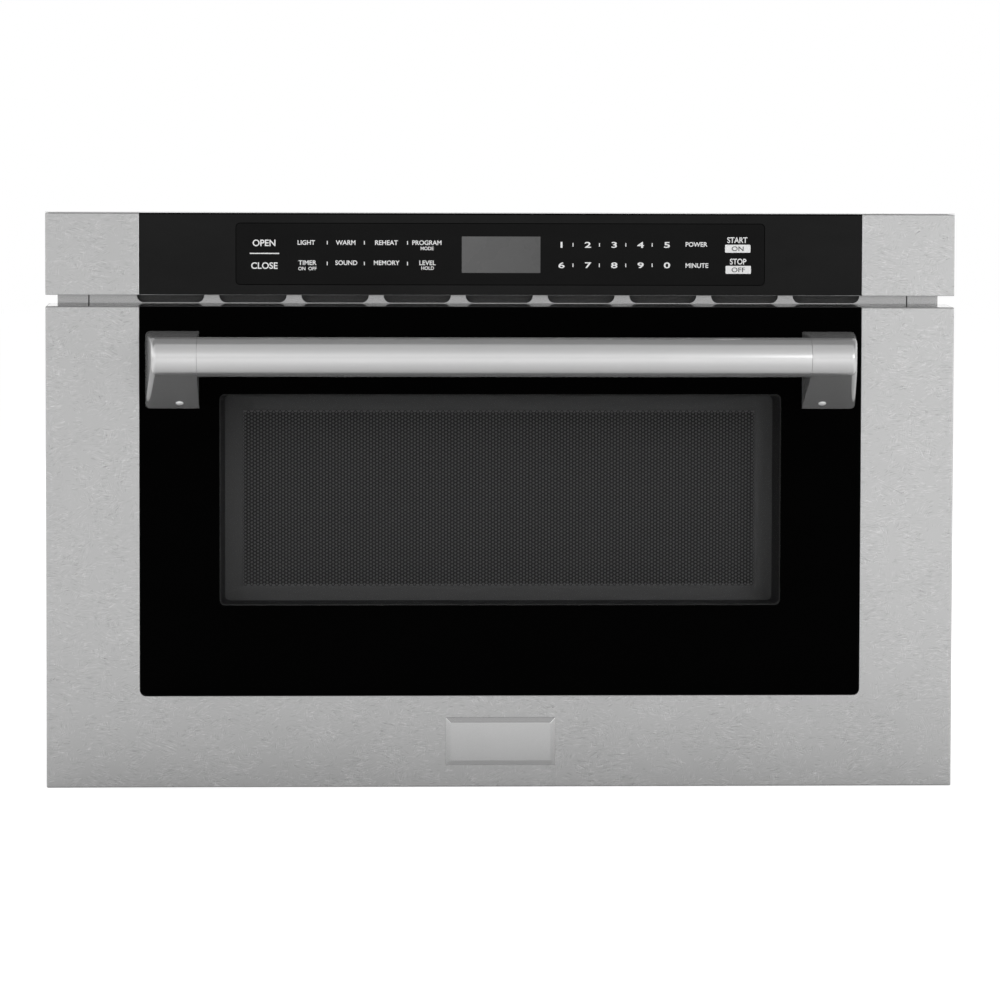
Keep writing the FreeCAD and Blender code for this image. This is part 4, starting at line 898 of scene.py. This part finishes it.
lettering = {
    "words": (                 # text, x and z in millimetres, cap height
        ("OPEN", -158.0, 171.6, "capLarge"), ("CLOSE", -157.9, 156.5, "capLarge"),
        ("LIGHT", -130.1, 171.9, "capSmall"), ("WARM", -103.7, 171.9, "capSmall"),
        ("REHEAT", -76.8, 171.9, "capSmall"), ("PROGRAM", -49.8, 171.9, "capSmall"),
        ("MODE", -49.7, 168.1, "capTiny"),
        ("TIMER", -129.3, 158.5, "capSmall"), ("ON  OFF", -129.3, 154.6, "capTiny"),
        ("SOUND", -103.4, 158.5, "capSmall"), ("MEMORY", -76.7, 158.5, "capSmall"),
        ("LEVEL", -49.5, 158.5, "capSmall"), ("HOLD", -49.3, 155.0, "capTiny"),
        ("POWER", 130.0, 171.1, "capSmall"), ("MINUTE", 130.4, 157.0, "capSmall"),
        ("START", 157.4, 174.0, "capDigit"), ("STOP", 158.0, 159.7, "capDigit"),
    ),
    "pills": (("ON", 157.8, 168.3), ("OFF", 158.2, 154.2)),
    "pillSize": (17.0 * mm, 5.3 * mm, 0.6 * mm),       # width, height, corner radius
    "pillWide": 1.2,
    "bars": (-116.1, -91.4, -62.7),                    # x of the bars between the words
    "barRows": (171.8, 158.0),
    "barSize": (0.6 * mm, 2.4 * mm, 0.1 * mm),
    "underline": (-157.8, 164.6),
    "underlineSize": (19.6 * mm, 0.75 * mm, 0.2 * mm),
}
digits = {
    "pitch": 17.63 * mm,
    "start": 39.95 * mm,
    "rows": (("12345", 170.7 * mm), ("67890", 157.1 * mm)),
    "barShift": -1.1 * mm,     # from the middle between two digits
    "wide": 1.7,
    "bold": 0.020,
}


def wordMesh(text, x, z, cap, front, wide=1.0, bold=strip["bold"]):
    # the built-in font, scaled to a cap height and laid on the glass
    curve = bpy.data.curves.new("word", "FONT")
    curve.body = text
    curve.align_x = "CENTER"
    curve.extrude = strip["extrude"]
    curve.offset = bold
    helper = newObject("word", curve)
    bpy.context.view_layer.update()
    mesh = bpy.data.meshes.new_from_object(helper.evaluated_get(bpy.context.evaluated_depsgraph_get()))
    bpy.data.objects.remove(helper)
    heights = [vertex.co.y for vertex in mesh.vertices]
    size = cap / (max(heights) - min(heights))
    lift = z - size * (max(heights) + min(heights)) / 2
    stand = Matrix.Translation((x, front - strip["print"], lift)) @ Matrix.Rotation(math.pi / 2, 4, "X")
    mesh.transform(stand @ Matrix.Diagonal((size * wide, size, strip["print"] / strip["extrude"], 1)))
    return mesh


def barPlate(x, z, size, front):
    width, height, radius = size
    low, high = (x - width / 2, z - height / 2), (x + width / 2, z + height / 2)
    return readyMesh("plate", slab([outline(low, high, (radius,) * 4, 4)], front - strip["print"], front))


def buildControlGlass():
    low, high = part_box("control_glass")
    front = low.y
    edge = outline((low.x, low.z), (high.x, high.z), (strip["corner"],) * 4)
    glass = addPiece("control_pane", slab([edge], front, high.y), "chassis", controlGlass,
                     ["control_glass"])
    softenEdges(glass, strip["arris"])
    touchLow, touchHigh = strip["touchLow"], strip["touchHigh"]
    inset, corner, rise = strip["touchGroove"], strip["touchCorner"], strip["touchRise"]
    area = outline(touchLow, touchHigh, (corner,) * 4)
    addPiece("touch_area", slab([area], front - rise, front + rise), "chassis", touchGlass)
    inner = outline([part + inset for part in touchLow], [part - inset for part in touchHigh],
                    (corner - inset,) * 4)
    addPiece("touch_groove", slab([area, inner], front - strip["grooveRise"], front), "chassis",
             finishes["black_glass"])
    shown = outline(strip["displayLow"], strip["displayHigh"], (strip["displayCorner"],) * 4)
    addPiece("display_window", slab([shown], front - strip["displayRise"], front), "chassis",
             finishes["display_grey"])


def buildLettering():
    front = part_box("control_glass")[0].y - strip["touchRise"]
    pale = []
    for text, x, z, cap in lettering["words"]:
        wide = strip["narrow"] if cap == "capDigit" else 1.0
        pale.append(wordMesh(text, x * mm, z * mm, strip[cap], front, wide))
    barSize = lettering["barSize"]
    for text, z in digits["rows"]:
        for number, digit in enumerate(text):
            x = digits["start"] + digits["pitch"] * number
            pale.append(wordMesh(digit, x, z, strip["capDigit"], front, digits["wide"], digits["bold"]))
            if number:
                pale.append(barPlate(x - digits["pitch"] / 2 + digits["barShift"], z, barSize, front))
    for x in lettering["bars"]:
        for z in lettering["barRows"]:
            pale.append(barPlate(x * mm, z * mm, barSize, front))
    x, z = lettering["underline"]
    pale.append(barPlate(x * mm, z * mm, lettering["underlineSize"], front))
    dark = []
    for text, x, z in lettering["pills"]:
        pale.append(barPlate(x * mm, z * mm, lettering["pillSize"], front))
        dark.append(wordMesh(text, x * mm, z * mm, strip["capSmall"], front - strip["print"],
                             lettering["pillWide"], 0.0))
    addPiece("strip_lettering", joinMeshes(pale), "chassis", paleInk)
    addPiece("pill_lettering", joinMeshes(dark), "chassis", darkInk)


buildControlGlass()
buildLettering()
print("control strip built")


nodeArris = 0.25 * mm


def dressNodes():
    # every node takes its slot's finish; square ones that still show get an arris
    for name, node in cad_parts.items():
        slotName = node.data.materials[0].name
        node.material_slots[0].material = finishes[slotName]
        if node.hide_render or name == "badge_plate":
            continue
        if not any(face.use_smooth for face in node.data.polygons):
            weldSeams(node)
            softenEdges(node, nodeArris)
    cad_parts["inner_window"].material_slots[0].material = backingFilm
    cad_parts["bracket_set_screws"].material_slots[0].material = nickelPlate


dressNodes()
print("nodes dressed")


# studio

studio = {
    "eye": (-114.0 * mm, 2500.0 * mm, 164.1 * mm),   # left of, before and above the front's middle
    "aim": (-34.2 * mm, 53.8 * mm),                  # x and z that the lens points at
    "roll": 0.0018,
    "viewWidth": 667.1 * mm,                         # width seen at the front
    "shift": (0.05, -0.08),
    "sensor": 36.0,
    "floorHalf": 20.0,
    "floorDrop": 0.2 * mm,
    "floorGlow": 0.55,
    "shadowFadeFront": (0.06, 0.70),                       # painted shadow: the mirrored floor fades in, this far in front
    "shadowFadeSide": (0.35, 0.55),                        # and this far to either side
    "floorMirrored": 0.66,
}


def buildCamera():
    # a slightly shifted lens, so that the front keeps nearly square corners as in the photograph
    data = bpy.data.cameras.new("camera")
    camera = newObject("camera", data)
    left, before, above = studio["eye"]
    aimX, aimZ = studio["aim"]
    camera.location = (left, frontY - before, above)
    sight = Vector((aimX, frontY, aimZ)) - camera.location
    turn = sight.to_track_quat("-Z", "Y") @ Quaternion((0, 0, 1), studio["roll"])
    camera.rotation_euler = turn.to_euler()
    data.sensor_width = studio["sensor"]
    data.lens = studio["sensor"] * sight.length / studio["viewWidth"]
    data.shift_x, data.shift_y = studio["shift"]
    data.clip_end = 100
    bpy.context.scene.camera = camera


def buildFloor():
    # painted shadow: to gloss the floor is dark close to the drawer and pale farther away
    mesh = bmesh.new()
    level, half = cadBounds[0].z - studio["floorDrop"], studio["floorHalf"]
    corners = ((-half, -half), (half, -half), (half, half), (-half, half))
    mesh.faces.new([mesh.verts.new((x, y, level)) for x, y in corners])
    floor = newObject("floor", readyMesh("floor", mesh))
    material, shader = newFinish("pale_floor")
    path = shader.node("LightPath", None, None, "Is Camera Ray")
    across = shader.node("SeparateXYZ", None, {"Vector": shader.place()}, "X")
    aside = shader.node("Math", {"operation": "ABSOLUTE"}, {0: across})
    before = across.output("Y") * -1
    away = 0
    for distance, (near, far) in ((before, studio["shadowFadeFront"]), (aside, studio["shadowFadeSide"])):
        away = away + shader.node("MapRange", None, {"Value": distance, "From Min": near, "From Max": far})
    away = shader.node("Math", {"operation": "MINIMUM"}, {0: away, 1: 1.0}) * studio["floorMirrored"]
    # glossy rays see the glow only away from the drawer, a painted shadow under it
    seen = path + path.output("Is Transmission Ray") + path.output("Is Glossy Ray") * away
    shader.finish({
        "Base Color": 0.82,
        "Roughness": 0.9,
        "Specular IOR Level": 0.0,
        "Emission Color": shader.ramp(seen, (0.0, 0.0), (1.0, 1.0)),
        "Emission Strength": studio["floorGlow"],
    })
    floor.data.materials.append(material)


sky = {                        # what metal mirrors; directions run from -1 to 1
    "rise": ((0.50, 1.0), (0.62, 0.98), (0.75, 0.68), (0.90, 0.50), (1.0, 0.44)),
    "across": ((0.05, 1.0), (0.30, 0.92), (0.42, 0.78), (0.80, 0.78), (0.95, 0.62)),
    "level": 1.42,
    "ceiling": (("Z", 0.50, 0.65), ("Y", -0.18, -0.15)),       # axis, then where it starts and is full
    "ceilingDark": 0.85,
    "key": (("Z", 0.30, 0.16), ("Y", -0.25, -0.45), ("X", 0.22, 0.40), ("X", 0.80, 0.68)),
    "keyGlow": 2.6,
    "fill": 0.55,              # light on plain surfaces
}


def skyPart(shader, direction, edges):
    covered = 1
    for axis, start, full in edges:
        sockets = {"Value": direction.output(axis), "From Min": start, "From Max": full}
        covered = covered * shader.node("MapRange", None, sockets)
    return covered


def buildWorld():
    # white to the camera; metal mirrors a key panel at the right and a dark ceiling edge
    world = bpy.data.worlds.new("studio")
    world.use_nodes = True
    bpy.context.scene.world = world
    shader = Shader(world.node_tree)
    path = shader.node("LightPath", None, None, "Is Camera Ray")
    mirrored = path.output("Is Glossy Ray") + path.output("Is Transmission Ray")
    around = shader.node("TexCoord", None, None, "Generated")
    direction = shader.node("SeparateXYZ", None, {"Vector": around}, "X")
    grey = sky["level"]
    for axis, stops in (("Z", sky["rise"]), ("X", sky["across"])):
        tone = shader.ramp(direction.output(axis) * 0.5 + 0.5, *stops)
        grey = shader.node("RGBToBW", None, {"Color": tone}) * grey
    dimmed = grey * (1 - skyPart(shader, direction, sky["ceiling"]) * sky["ceilingDark"])
    shown = dimmed + skyPart(shader, direction, sky["key"]) * sky["keyGlow"]
    strength = path + mirrored * shown + (1 - path - mirrored) * sky["fill"]
    surface = shader.node("Background", None, {"Color": 1.0, "Strength": strength})
    shader.node("OutputWorld", None, {"Surface": surface})


softboxes = {                  # place, aim, width, height, watts
    "key_box": ((1.7, -2.6, 1.4), (0, 0, 0), 1.6, 1.2, 36.0),
    "fill_box": ((-2.0, -2.6, 0.7), (0, 0, 0), 1.4, 1.4, 16.0),
    "top_box": ((0.0, 0.1, 2.4), (0, 0.1, 0), 1.8, 1.2, 7.0),
    "rear_box": ((-1.4, 3.0, 1.6), (0, 0.3, 0), 1.6, 1.2, 22.0),
}


def buildLights():
    for name, (place, aim, width, height, watts) in softboxes.items():
        data = bpy.data.lights.new(name, "AREA")
        data.shape = "RECTANGLE"
        data.size = width
        data.size_y = height
        data.energy = watts
        lamp = newObject(name, data)
        lamp.location = place
        lamp.rotation_euler = (Vector(aim) - Vector(place)).to_track_quat("-Z", "Y").to_euler()
        lamp.visible_camera = False
        lamp.visible_glossy = False


buildCamera()
buildFloor()
buildWorld()
buildLights()
bpy.context.scene.view_settings.view_transform = "Standard"
print("studio built")

bpy.context.view_layer.update()
